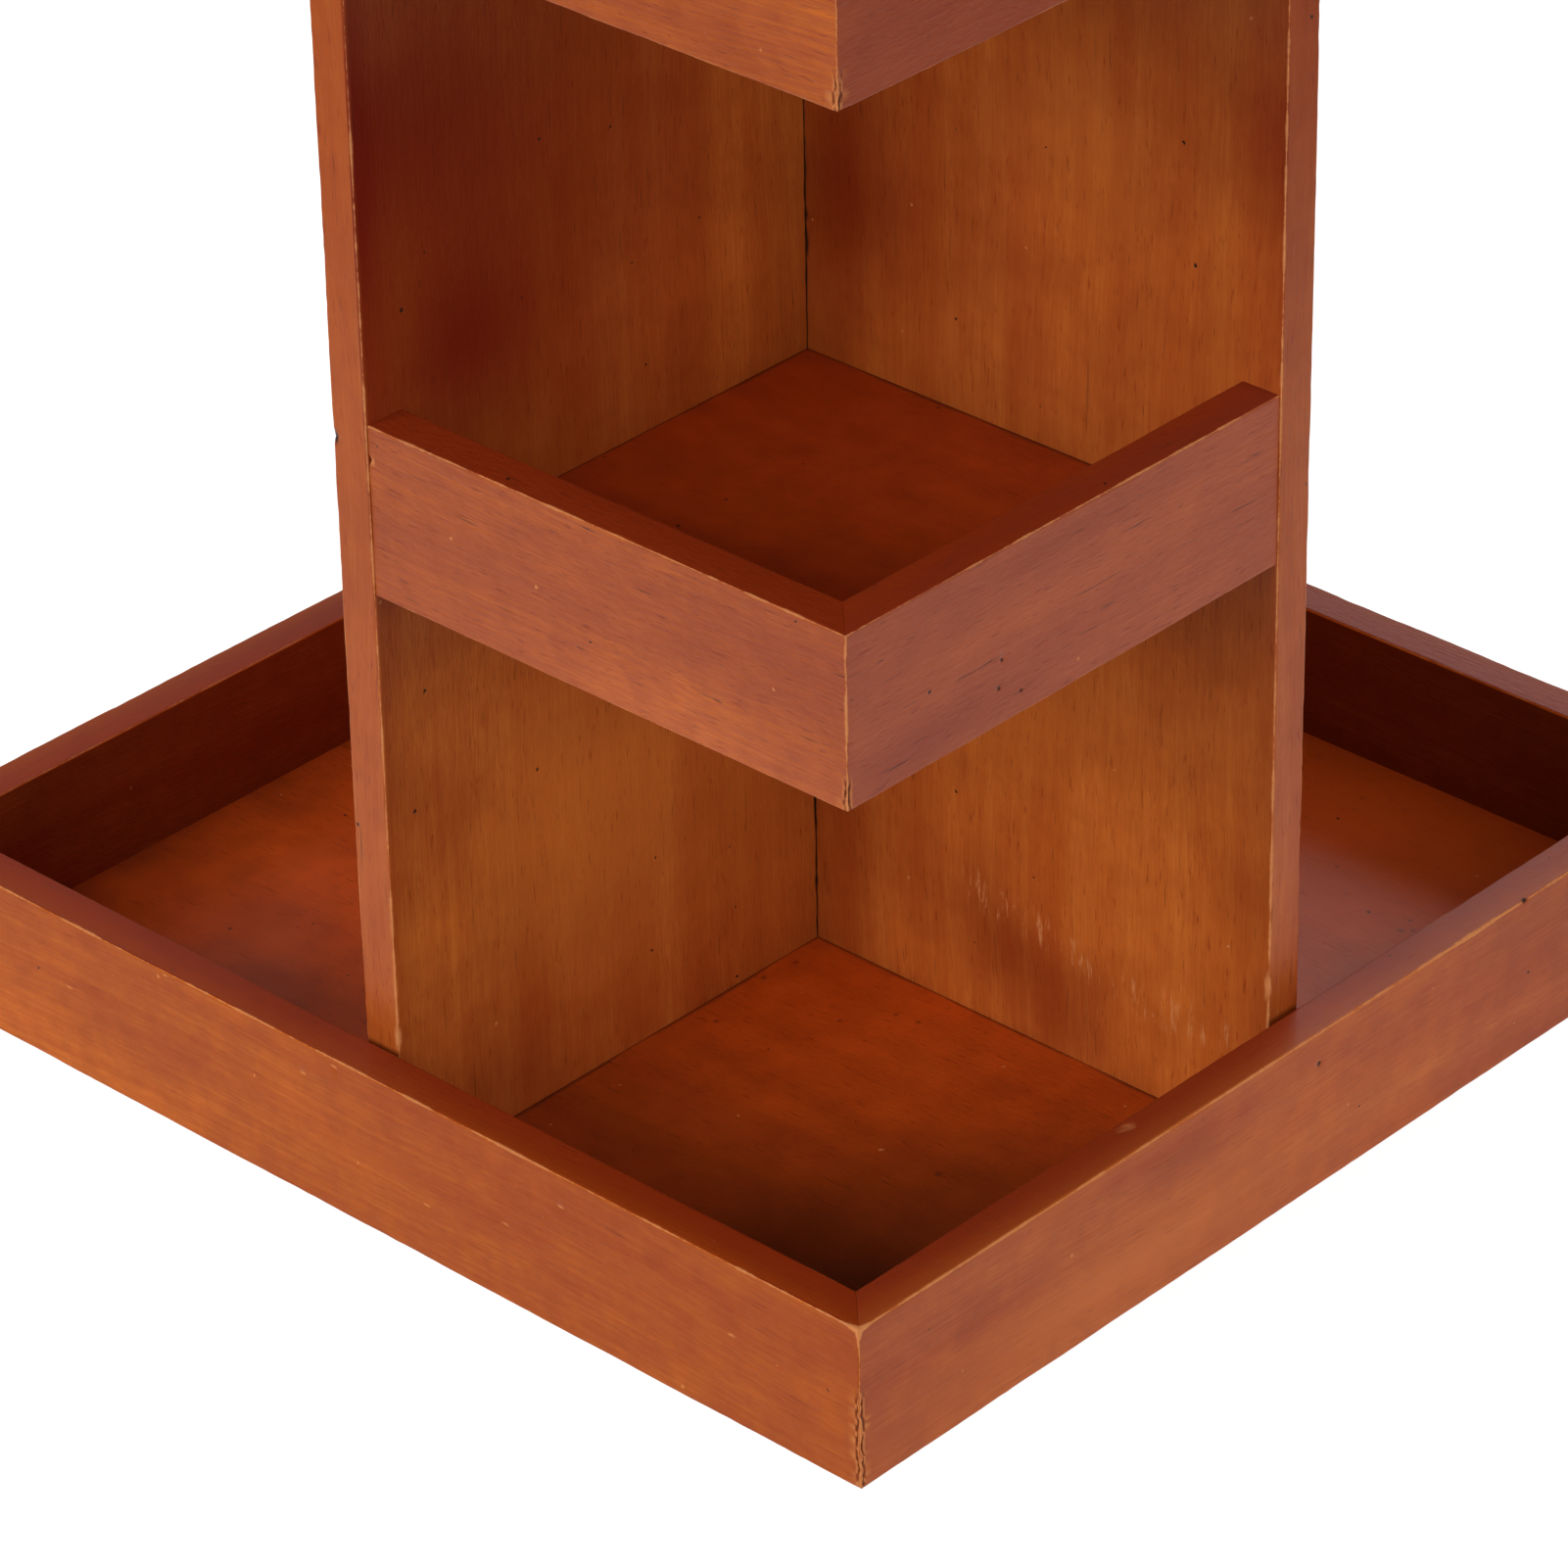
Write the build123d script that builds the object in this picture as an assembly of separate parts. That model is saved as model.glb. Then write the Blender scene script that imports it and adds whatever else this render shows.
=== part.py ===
from build123d import *

import os
from math import cos, radians, sin, sqrt

# Revolving organiser. A square mitred tray carries a cross of four upright boards
# whose inner ends are pointed and meet at the middle. Two opposite corner bays hold
# two shelves each behind mitred rails, and the other two bays are open all the way
# up. The tray turns on a pressed steel ball bearing, which stands on a round base
# board with four rubber feet.
#
# Millimetres. +Z is up, and the origin is on the table under the middle of the
# object. The front corner of the tray is the one towards +X and -Y.

# Base
BASE_RADIUS = 100.0
BASE_THICKNESS = 10.0
BASE_CHAMFER = 1.5  # along the base board's two rims
ACCESS_HOLE_RADIUS = 9.0  # a screwdriver reaches the upper plate's screws through it
FOOT_RADIUS = 9.0  # where it is glued on
FOOT_SOLE_RADIUS = 8.0  # where it stands
FOOT_HEIGHT = 3.0
FOOT_INSET = 20.0  # from the base board's rim to the middle of each foot

# Bearing: both plates
PLATE_GAUGE = 1.0  # sheet thickness
PLATE_CORNER = 6.0
PLATE_MARGIN = 9.0  # flat sheet between the skirt's foot and the nearest side
PLATE_HOLE_INSET = 7.0  # from two sides of the plate to each corner hole
PLATE_HOLE_RADIUS = 1.8
RACE_RADIUS = 36.0  # from the spin axis to the middles of the balls
RACE_LIFT = 0.4  # from a plate's mounting face to the back of its race
RACE_ARC = 120.0  # degrees of the ball that each race wraps
SKIRT_RUN = 3.2  # how far each plate slopes out from its race to its flange

# Bearing: the lower plate's rolled hub, which holds the upper plate down
HUB_INSET = 9.0  # from the middle of the race in to the middle of the hub wall
HUB_GAP = 1.0  # between the hub wall and the upper plate's inner lip
RIM_GAP = 0.5  # between that lip and the rolled rim above it
RIM_REACH = 4.0  # from the hub wall's middle to the rim's edge
RIM_ROLL = 1.0  # bend radius where the wall turns into the rim

# Bearing: balls in their retainer
BALL_RADIUS = 2.5
BALL_COUNT = 12
BALL_CLEARANCE = 0.1  # all round each ball, in the races and in the retainer
RETAINER_THICKNESS = 0.8
RETAINER_MARGIN = 1.0  # of sheet beside each pocket

# Tray
TRAY_SIDE = 300.0
TRAY_FLOOR_THICKNESS = 6.0
WALL_HEIGHT = 40.0
WALL_THICKNESS = 10.0

# Cross
DIVIDER_HEIGHT = 450.0
DIVIDER_THICKNESS = 10.0
DIVIDER_END_GAP = 2.0  # from each divider's outer end to the tray wall
MITRE_GAP = 0.3  # between two dividers' mitred faces

# Corner shelves
SHELF_PITCH = 152.0  # from the tray's underside to each shelf's underside in turn
SHELF_THICKNESS = 6.0
RAIL_HEIGHT = 40.0
RAIL_THICKNESS = 10.0
RAIL_SETBACK = 0.5  # from a divider's outer end in to a rail's outer face

# Screws
PLATE_SCREW_RADIUS = 1.5
PLATE_SCREW_HEAD_RADIUS = 2.7
PLATE_SCREW_CROWN_RADIUS = 1.9  # the flat top of its head
PLATE_SCREW_HEAD_HEIGHT = 1.4
BASE_SCREW_LENGTH = 8.0
TRAY_SCREW_LENGTH = 5.5
DIVIDER_SCREW_RADIUS = 1.75
DIVIDER_SCREW_HEAD_RADIUS = 3.5
DIVIDER_SCREW_LENGTH = 30.0
DIVIDER_SCREW_INSET = 13.0  # from a divider's outer end to its outer screw
DIVIDER_SCREW_SPACING = 35.0
PILOT_CLEARANCE = 0.05  # all round a screw in the hole that it fills

EASE = 0.8  # rounding of the boards' exposed edges

# Bearing section, measured from the middle of a ball
BALL_REACH = BALL_RADIUS + BALL_CLEARANCE
SHEET_REACH = BALL_REACH + PLATE_GAUGE / 2  # to the middle of the race's sheet
LIP_RUN = SHEET_REACH * sin(radians(RACE_ARC / 2))
LIP_DROP = SHEET_REACH * cos(radians(RACE_ARC / 2))
HALF_BEARING = BALL_REACH + PLATE_GAUGE + RACE_LIFT
FLANGE_DROP = HALF_BEARING - PLATE_GAUGE / 2
RIM_LIFT = LIP_DROP + PLATE_GAUGE + RIM_GAP

# Heights above the table
BASE_TOP = FOOT_HEIGHT + BASE_THICKNESS
BALL_LEVEL = BASE_TOP + HALF_BEARING
TRAY_BOTTOM = BALL_LEVEL + HALF_BEARING
TRAY_FLOOR_TOP = TRAY_BOTTOM + TRAY_FLOOR_THICKNESS

# Distances from the spin axis
HUB_RADIUS = RACE_RADIUS - HUB_INSET
SKIRT_FOOT = RACE_RADIUS + LIP_RUN + SKIRT_RUN
PLATE_HALF = SKIRT_FOOT + PLATE_MARGIN
PLATE_HOLE = PLATE_HALF - PLATE_HOLE_INSET  # along each side of the plate
PLATE_HOLE_CIRCLE = PLATE_HOLE * sqrt(2)
TRAY_INSIDE = TRAY_SIDE / 2 - WALL_THICKNESS
DIVIDER_END = TRAY_INSIDE - DIVIDER_END_GAP
DIVIDER_FACE = DIVIDER_THICKNESS / 2
RAIL_OUTSIDE = DIVIDER_END - RAIL_SETBACK
RAIL_INSIDE = RAIL_OUTSIDE - RAIL_THICKNESS
DIVIDER_SCREWS = (
    DIVIDER_END - DIVIDER_SCREW_INSET - DIVIDER_SCREW_SPACING,
    DIVIDER_END - DIVIDER_SCREW_INSET,
)

# Names, each with its turn about +Z in degrees. A side of the tray at turn 0 faces
# -Y, and a corner bay at turn 0 is the front one.
SIDES = {"front_left": 0, "front_right": 90, "back_right": 180, "back_left": 270}
SHELF_BAYS = {"front": 0, "back": 180}
SHELF_LEVELS = {"lower": 1, "upper": 2}

UPRIGHT = (Align.CENTER, Align.CENTER, Align.MIN)
FROM_CORNER = (Align.MIN, Align.MIN, Align.MIN)
NEAR = 0.01


def turned(shape, degrees):
    """The shape turned about the spin axis."""
    return Rot(0, 0, degrees) * shape


def box_between(low, high):
    """An upright box from its lowest to its highest corner."""
    size = [b - a for a, b in zip(low, high)]
    return Pos(*low) * Box(*size, align=FROM_CORNER)


def prism(points, bottom, height):
    """An upright solid on a plan outline."""
    return Pos(0, 0, bottom) * extrude(make_face(Polyline(*points, close=True)), height)


def spun(points):
    """A solid of revolution about +Z from points given as radius and height."""
    outline = [(radius, 0, height) for radius, height in points]
    return revolve(make_face(Polyline(*outline, close=True)), axis=Axis.Z)


# -------------------------------------------------------------------- screws


def pan_screw(length):
    """Screw up along +Z with its pan head below the origin."""
    low, head, shank = -PLATE_SCREW_HEAD_HEIGHT, PLATE_SCREW_HEAD_RADIUS, PLATE_SCREW_RADIUS
    crown = [(0, low), (PLATE_SCREW_CROWN_RADIUS, low), (head, 0)]
    return spun(crown + [(shank, 0), (shank, length), (0, length)])


def pan_screw_hole(length):
    """The plain hole that a pan screw's shank fills."""
    return Cylinder(PLATE_SCREW_RADIUS + PILOT_CLEARANCE, length + PILOT_CLEARANCE, align=UPRIGHT)


def countersunk_screw(clearance=0.0):
    """Screw up along +Z with its flat head flush with the origin, or its hole."""
    head, shank = DIVIDER_SCREW_HEAD_RADIUS + clearance, DIVIDER_SCREW_RADIUS + clearance
    length = DIVIDER_SCREW_LENGTH + clearance
    return spun([(0, 0), (head, 0), (shank, head - shank), (shank, length), (0, length)])


def plate_holes():
    """The corner holes of a plate that lies square to the axes."""
    return [(x, y) for x in (-PLATE_HOLE, PLATE_HOLE) for y in (-PLATE_HOLE, PLATE_HOLE)]


def for_base_screws(one):
    """A copy of one for each screw down through the lower plate, which lies an
    eighth of a turn round."""
    one = Pos(PLATE_HOLE_CIRCLE, 0, BASE_TOP + PLATE_GAUGE) * Rot(180, 0, 0) * one
    return [turned(one, turn) for turn in SIDES.values()]


def for_tray_screws(one):
    """A copy of one for each screw up through the upper plate."""
    return [Pos(x, y, TRAY_BOTTOM - PLATE_GAUGE) * one for x, y in plate_holes()]


def for_divider_screws(one):
    """A copy of one for each screw up through the tray floor, two under a divider."""
    pair = [Pos(0, -distance, TRAY_BOTTOM) * one for distance in DIVIDER_SCREWS]
    return [turned(each, turn) for turn in SIDES.values() for each in pair]


# -------------------------------------------------------------------- base


def base_board():
    """Round board with both rims chamfered, bored for its screws and the screwdriver."""
    board = Cylinder(BASE_RADIUS, BASE_THICKNESS, align=UPRIGHT)
    board = chamfer(board.edges().filter_by(GeomType.CIRCLE), BASE_CHAMFER)
    board = Pos(0, 0, FOOT_HEIGHT) * board
    board -= Pos(PLATE_HOLE, PLATE_HOLE, BASE_TOP) * Cylinder(
        ACCESS_HOLE_RADIUS, 2 * BASE_THICKNESS
    )
    for hole in for_base_screws(pan_screw_hole(BASE_SCREW_LENGTH)):
        board -= hole
    return board


def foot(degrees):
    """Tapered rubber pad, glued under the base board."""
    pad = Cone(FOOT_SOLE_RADIUS, FOOT_RADIUS, FOOT_HEIGHT, align=UPRIGHT)
    return turned(Pos(0, FOOT_INSET - BASE_RADIUS, 0) * pad, degrees)


# -------------------------------------------------------------------- bearing


def pressed_ring(inner_path):
    """The ring of a lower plate about a ball's level: the given path of the sheet's
    middle, then the race under the balls, then the skirt down to the flange."""
    inner = (RACE_RADIUS - LIP_RUN, -LIP_DROP)
    outer = (RACE_RADIUS + LIP_RUN, -LIP_DROP)
    foot = (SKIRT_FOOT, -FLANGE_DROP)
    path = inner_path + [
        ThreePointArc(inner, (RACE_RADIUS, -SHEET_REACH), outer),
        Polyline(outer, foot, (SKIRT_FOOT + PLATE_GAUGE, -FLANGE_DROP)),
    ]
    return revolve(Plane.XZ * trace(path, PLATE_GAUGE), axis=Axis.Z)


def flange():
    """Flat square of sheet round the skirt, with rounded corners and four holes."""
    side = 2 * PLATE_HALF
    outline = RectangleRounded(side, side, PLATE_CORNER) - Circle(SKIRT_FOOT)
    for x, y in plate_holes():
        outline -= Pos(x, y) * Circle(PLATE_HOLE_RADIUS)
    return extrude(outline, PLATE_GAUGE)


def lower_plate():
    """Plate whose hub stands up through the upper one and rolls out over its lip."""
    rim = (HUB_RADIUS + RIM_REACH, RIM_LIFT)
    top, bottom = (HUB_RADIUS, RIM_LIFT), (HUB_RADIUS, -LIP_DROP)
    hub = FilletPolyline(rim, top, bottom, radius=RIM_ROLL)
    web = Line(bottom, (RACE_RADIUS - LIP_RUN, -LIP_DROP))
    ring = pressed_ring([hub, web])
    plate = ring + Pos(0, 0, -HALF_BEARING) * flange()
    return turned(Pos(0, 0, BALL_LEVEL) * plate, 45)


def upper_plate():
    """The same ring upside down, with a plain lip under the rolled rim."""
    lip = HUB_RADIUS + PLATE_GAUGE / 2 + HUB_GAP
    web = Line((lip, -LIP_DROP), (RACE_RADIUS - LIP_RUN, -LIP_DROP))
    plate = pressed_ring([web]) + Pos(0, 0, -HALF_BEARING) * flange()
    return Pos(0, 0, BALL_LEVEL) * (Rot(180, 0, 0) * plate)


def ball_places():
    """Where the balls are, evenly round the race."""
    return PolarLocations(RACE_RADIUS, BALL_COUNT)


def bearing_balls():
    """The balls between the two races."""
    return [Pos(0, 0, BALL_LEVEL) * (place * Sphere(BALL_RADIUS)) for place in ball_places()]


def ball_retainer():
    """Flat ring that keeps the balls apart, each in a round pocket."""
    reach = BALL_REACH + RETAINER_MARGIN
    outline = Circle(RACE_RADIUS + reach) - Circle(RACE_RADIUS - reach)
    outline -= ball_places() * Circle(BALL_REACH)
    ring = extrude(outline, RETAINER_THICKNESS)
    return Pos(0, 0, BALL_LEVEL - RETAINER_THICKNESS / 2) * ring


# -------------------------------------------------------------------- tray


def tray_floor():
    """Square board inside the walls, bored for the screws that come up through it."""
    side = 2 * TRAY_INSIDE
    board = Pos(0, 0, TRAY_BOTTOM) * Box(side, side, TRAY_FLOOR_THICKNESS, align=UPRIGHT)
    for hole in for_tray_screws(pan_screw_hole(TRAY_SCREW_LENGTH)):
        board -= hole
    for hole in for_divider_screws(countersunk_screw(PILOT_CLEARANCE)):
        board -= hole
    return board


def tray_rim():
    """The four walls as one square ring, with its exposed edges rounded."""
    half, top = TRAY_SIDE / 2, TRAY_BOTTOM + WALL_HEIGHT
    block = box_between((-half, -half, TRAY_BOTTOM), (half, half, top))
    block = fillet(block.edges(), EASE)
    inside = TRAY_INSIDE
    ring = block - box_between((-inside, -inside, TRAY_BOTTOM), (inside, inside, top))
    inner = [edge for edge in ring.edges() if on_inner_rim(edge, top)]
    return fillet(inner, EASE)


def on_inner_rim(edge, top):
    """Whether an edge runs along the inside of the tray's rim."""
    middle = edge.center()
    reach = max(abs(middle.X), abs(middle.Y))
    return abs(middle.Z - top) < NEAR and reach < TRAY_INSIDE + NEAR


def tray_wall(rim, degrees):
    """One wall of the rim, cut from it along both mitres."""
    half = TRAY_SIDE / 2
    wedge = prism([(0, 0), (-half, -half), (half, -half)], TRAY_BOTTOM, WALL_HEIGHT)
    return rim & turned(wedge, degrees)


# -------------------------------------------------------------------- cross


def divider(degrees):
    """Upright board with a pointed inner end and its outer edges rounded."""
    point = MITRE_GAP / sqrt(2)
    shoulder = point + DIVIDER_FACE
    plan = [
        (0, -point),
        (DIVIDER_FACE, -shoulder),
        (DIVIDER_FACE, -DIVIDER_END),
        (-DIVIDER_FACE, -DIVIDER_END),
        (-DIVIDER_FACE, -shoulder),
    ]
    board = prism(plan, TRAY_FLOOR_TOP, DIVIDER_HEIGHT)
    board = fillet([edge for edge in board.edges() if is_exposed(edge, shoulder)], EASE)
    board = turned(board, degrees)
    for hole in for_divider_screws(countersunk_screw(PILOT_CLEARANCE)):
        board -= hole
    return board


def is_exposed(edge, shoulder):
    """Whether a divider's edge is at its outer end or along its top."""
    middle = edge.center()
    at_top = middle.Z > TRAY_FLOOR_TOP + DIVIDER_HEIGHT - NEAR
    upright = TRAY_FLOOR_TOP + NEAR < middle.Z and not at_top
    return (at_top and middle.Y < -shoulder) or (upright and middle.Y < NEAR - DIVIDER_END)


# -------------------------------------------------------------------- shelves


def shelf_bottom(level):
    """Height of a shelf's underside."""
    return TRAY_BOTTOM + SHELF_PITCH * level


def shelf_board(level):
    """Square board of the front bay, between the dividers and the rails."""
    low = shelf_bottom(level)
    return box_between(
        (DIVIDER_FACE, -RAIL_INSIDE, low),
        (RAIL_INSIDE, -DIVIDER_FACE, low + SHELF_THICKNESS),
    )


def shelf_rails(level):
    """The left and right rails of the front bay, mitred at the tray's front corner."""
    low = shelf_bottom(level)
    high = low + RAIL_HEIGHT
    block = box_between((DIVIDER_FACE, -RAIL_OUTSIDE, low), (RAIL_OUTSIDE, -DIVIDER_FACE, high))
    block = fillet([e for e in block.edges() if off_dividers(e) and outside_rails(e)], EASE)
    angle = block - box_between((DIVIDER_FACE, -RAIL_INSIDE, low), (RAIL_INSIDE, -DIVIDER_FACE, high))
    inner = [e for e in angle.edges() if off_dividers(e) and not outside_rails(e)]
    angle = fillet([e for e in inner if e.center().Z > high - NEAR], EASE)
    corner = RAIL_OUTSIDE
    left = prism([(0, 0), (0, -corner), (corner, -corner)], low, RAIL_HEIGHT)
    return angle & left, angle - left


def off_dividers(edge):
    """Whether an edge of the front bay's rails is clear of both dividers' faces."""
    middle = edge.center()
    return middle.X > DIVIDER_FACE + NEAR and middle.Y < -DIVIDER_FACE - NEAR


def outside_rails(edge):
    """Whether an edge of the front bay's rails is on their outer faces."""
    middle = edge.center()
    return max(middle.X, -middle.Y) > RAIL_OUTSIDE - NEAR


# -------------------------------------------------------------------- everything


def base_nodes():
    """The pieces that stay still on the table."""
    made = {"base_board": base_board(), "bearing_lower_plate": lower_plate()}
    made["bearing_base_screws"] = Compound(for_base_screws(pan_screw(BASE_SCREW_LENGTH)))
    for side, degrees in SIDES.items():
        made[f"foot_{side}"] = foot(degrees)
    return made


def ball_nodes():
    """The pieces that roll round between the plates."""
    return {"bearing_balls": Compound(bearing_balls()), "ball_retainer": ball_retainer()}


def tray_nodes():
    """The tray, the cross and what holds them to the bearing."""
    made = {"bearing_upper_plate": upper_plate(), "tray_floor": tray_floor()}
    made["bearing_tray_screws"] = Compound(for_tray_screws(pan_screw(TRAY_SCREW_LENGTH)))
    made["divider_screws"] = Compound(for_divider_screws(countersunk_screw()))
    rim = tray_rim()
    for side, degrees in SIDES.items():
        made[f"tray_wall_{side}"] = tray_wall(rim, degrees)
        made[f"divider_{side}"] = divider(degrees)
    return made


def shelf_nodes():
    """The shelves of the two bays that have them."""
    made = {}
    for name, level in SHELF_LEVELS.items():
        left, right = shelf_rails(level)
        for bay, degrees in SHELF_BAYS.items():
            shelf = f"{bay}_{name}_shelf"
            made[f"{shelf}_board"] = turned(shelf_board(level), degrees)
            made[f"{shelf}_left_rail"] = turned(left, degrees)
            made[f"{shelf}_right_rail"] = turned(right, degrees)
    return made


os.makedirs("parts", exist_ok=True)
for node, shape in {**base_nodes(), **ball_nodes(), **tray_nodes(), **shelf_nodes()}.items():
    export_step(shape, f"parts/{node}.step")
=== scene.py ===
"""Looks of a revolving wooden organiser, built round its packed construction model.

Everything is in metres in the model's own frame: +Z up, the origin on the table under
the middle of the object, and the tray's front corner towards +X and -Y.
"""

from __future__ import annotations

import logging
from collections.abc import Sequence
from dataclasses import dataclass, field
from enum import Enum
from math import cos, pi, radians, sin

import bpy
import numpy as np
from mathutils import Matrix, Vector

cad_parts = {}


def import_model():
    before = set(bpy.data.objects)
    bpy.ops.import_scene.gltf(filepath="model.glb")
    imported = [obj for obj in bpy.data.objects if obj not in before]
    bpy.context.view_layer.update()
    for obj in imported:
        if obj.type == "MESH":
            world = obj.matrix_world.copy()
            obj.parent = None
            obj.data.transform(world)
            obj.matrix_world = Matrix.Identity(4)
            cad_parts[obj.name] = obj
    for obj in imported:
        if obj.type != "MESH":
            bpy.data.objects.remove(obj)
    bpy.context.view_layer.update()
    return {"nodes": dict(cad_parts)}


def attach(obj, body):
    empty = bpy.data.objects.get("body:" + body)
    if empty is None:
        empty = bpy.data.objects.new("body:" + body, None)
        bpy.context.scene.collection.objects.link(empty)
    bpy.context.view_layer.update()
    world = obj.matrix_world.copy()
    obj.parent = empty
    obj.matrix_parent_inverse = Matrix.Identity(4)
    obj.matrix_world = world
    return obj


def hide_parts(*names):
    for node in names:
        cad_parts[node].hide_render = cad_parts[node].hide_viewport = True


log = logging.getLogger("organizer")

Colour = tuple[float, float, float]
Point = tuple[float, float, float]
MM = 0.001  # a millimetre in metres
AT_ORIGIN = UNTURNED = (0.0, 0.0, 0.0)
UPSIDE_DOWN = (pi, 0.0, 0.0)
BOARD_CREASE = radians(40)  # the angle between two faces from which their edge shows sharp
HARDWARE_CREASE = radians(35)
SIDES = ("front_left", "front_right", "back_right", "back_left")  # in turn about +Z
FAR_FROM_EDGES = 9.0  # millimetres, past which no edge counts
END_ROWS = np.array([0.12, 0.26, 0.42, 0.6, 0.8, 1.1, 1.6])  # millimetres from a worn end of a lattice
NICK_ROWS = np.array([-1.2, -0.6, 0.0, 0.6, 1.2])  # in reaches of a nick from its middle
FLOOR_TOP = 0.027  # height of the tray floor's upper face
BOARD_MARKS = ("marked", "edge_distance", "chip", "crack", "scuff", "stain_and_shading")


def linear(red: int, green: int, blue: int) -> Colour:
    """A colour given as display values from 0 to 255, as linear light.

    Args:
        red: Display red.
        green: Display green.
        blue: Display blue.

    Returns:
        The same colour in linear light.
    """

    def one(value: int) -> float:
        """One channel's linear value."""
        share = value / 255
        return share / 12.92 if share <= 0.04045 else ((share + 0.055) / 1.055) ** 2.4

    return one(red), one(green), one(blue)


# ---------------------------------------------------------------- node trees


class Tree:
    """Adds nodes to a shader or geometry tree and links them by socket."""

    def __init__(self, tree: bpy.types.NodeTree) -> None:
        """Keeps the tree that nodes are added to."""
        self.tree = tree

    def feed(self, socket: bpy.types.NodeSocket, value: object) -> None:
        """Links an output socket to an input, or sets the input's plain value.

        Args:
            socket: The input.
            value: The output socket, or a number, vector, colour, flag or material.
        """
        if isinstance(value, bpy.types.NodeSocket):
            self.tree.links.new(value, socket)
        elif socket.type == "RGBA" and len(value) == 3:
            socket.default_value = (*value, 1.0)
        else:
            socket.default_value = value

    def add(self, kind: str, feeds: dict[str, object] | None = None, **settings: object) -> bpy.types.Node:
        """Adds a node.

        Args:
            kind: Blender's identifier of the node type.
            feeds: What each named input gets: an output socket or a plain value.
            settings: Properties of the node itself.

        Returns:
            The new node.
        """
        node = self.tree.nodes.new(kind)
        for name, value in settings.items():
            setattr(node, name, value)
        for name, value in (feeds or {}).items():
            self.feed(node.inputs[name], value)
        return node

    def in_order(self, kind: str, values: Sequence[object], **settings: object) -> bpy.types.Node:
        """Adds a node whose inputs are fed in their order.

        Args:
            kind: Blender's identifier of the node type.
            values: What the inputs get in turn.
            settings: Properties of the node itself.

        Returns:
            The new node.
        """
        node = self.add(kind, **settings)
        for socket, value in zip(node.inputs, values):
            self.feed(socket, value)
        return node

    def maths(self, operation: str, *values: object) -> bpy.types.NodeSocket:
        """Adds a Math node and returns its result."""
        return self.in_order("ShaderNodeMath", values, operation=operation).outputs[0]

    def plus(self, first: object, second: object) -> bpy.types.NodeSocket:
        """Adds two values."""
        return self.maths("ADD", first, second)

    def minus(self, first: object, second: object) -> bpy.types.NodeSocket:
        """Takes the second value from the first."""
        return self.maths("SUBTRACT", first, second)

    def times(self, first: object, second: object) -> bpy.types.NodeSocket:
        """Multiplies two values."""
        return self.maths("MULTIPLY", first, second)

    def over(self, first: object, second: object) -> bpy.types.NodeSocket:
        """Divides the first value by the second."""
        return self.maths("DIVIDE", first, second)

    def larger(self, first: object, second: object) -> bpy.types.NodeSocket:
        """Picks the larger of two values."""
        return self.maths("MAXIMUM", first, second)

    def smaller(self, first: object, second: object) -> bpy.types.NodeSocket:
        """Picks the smaller of two values."""
        return self.maths("MINIMUM", first, second)

    def unsigned(self, value: object) -> bpy.types.NodeSocket:
        """Drops a value's sign."""
        return self.maths("ABSOLUTE", value)

    def vector(self, operation: str, *values: object) -> bpy.types.NodeSocket:
        """Adds a Vector Math node and returns its vector result."""
        return self.in_order("ShaderNodeVectorMath", values, operation=operation).outputs["Vector"]

    def shaken(self, place: object, scale: float, detail: float, reach: Point) -> bpy.types.NodeSocket:
        """Moves a place about by a noise.

        Args:
            place: The place that is moved.
            scale: The noise's scale.
            detail: The noise's detail.
            reach: The whole width of the move along each axis.

        Returns:
            The moved place.
        """
        noise = self.noise(place, scale, detail).outputs["Color"]
        move = self.vector("MULTIPLY", self.vector("SUBTRACT", noise, (0.5, 0.5, 0.5)), reach)
        return self.vector("ADD", place, move)

    def combine(self, x: object, y: object, z: object) -> bpy.types.NodeSocket:
        """Makes a vector of three values."""
        return self.add("ShaderNodeCombineXYZ", {"X": x, "Y": y, "Z": z}).outputs["Vector"]

    def ramp(
        self, value: object, start: object, end: object, low: float = 0.0, high: float = 1.0
    ) -> bpy.types.NodeSocket:
        """Maps a value smoothly from one range to another, level beyond both ends.

        Args:
            value: What is mapped.
            start: Where the result begins to change.
            end: Where it stops.
            low: The result at the start.
            high: The result at the end.

        Returns:
            The result.
        """
        feeds = {"Value": value, "From Min": start, "From Max": end, "To Min": low, "To Max": high}
        return self.add("ShaderNodeMapRange", feeds, interpolation_type="SMOOTHSTEP").outputs["Result"]

    def noise(self, vector: object, scale: object, detail: float = 2.0, rough: float = 0.5) -> bpy.types.Node:
        """Adds a Noise Texture."""
        feeds = {"Vector": vector, "Scale": scale, "Detail": detail, "Roughness": rough}
        return self.add("ShaderNodeTexNoise", feeds)

    def mix(self, share: object, first: object, second: object) -> bpy.types.NodeSocket:
        """Mixes two colours.

        Args:
            share: How much of the second colour shows, from 0 to 1.
            first: The colour at 0.
            second: The colour at 1.

        Returns:
            The mixed colour.
        """
        node = self.add("ShaderNodeMix", data_type="RGBA")
        for index, value in ((0, share), (6, first), (7, second)):
            self.feed(node.inputs[index], value)
        return node.outputs[2]


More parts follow.
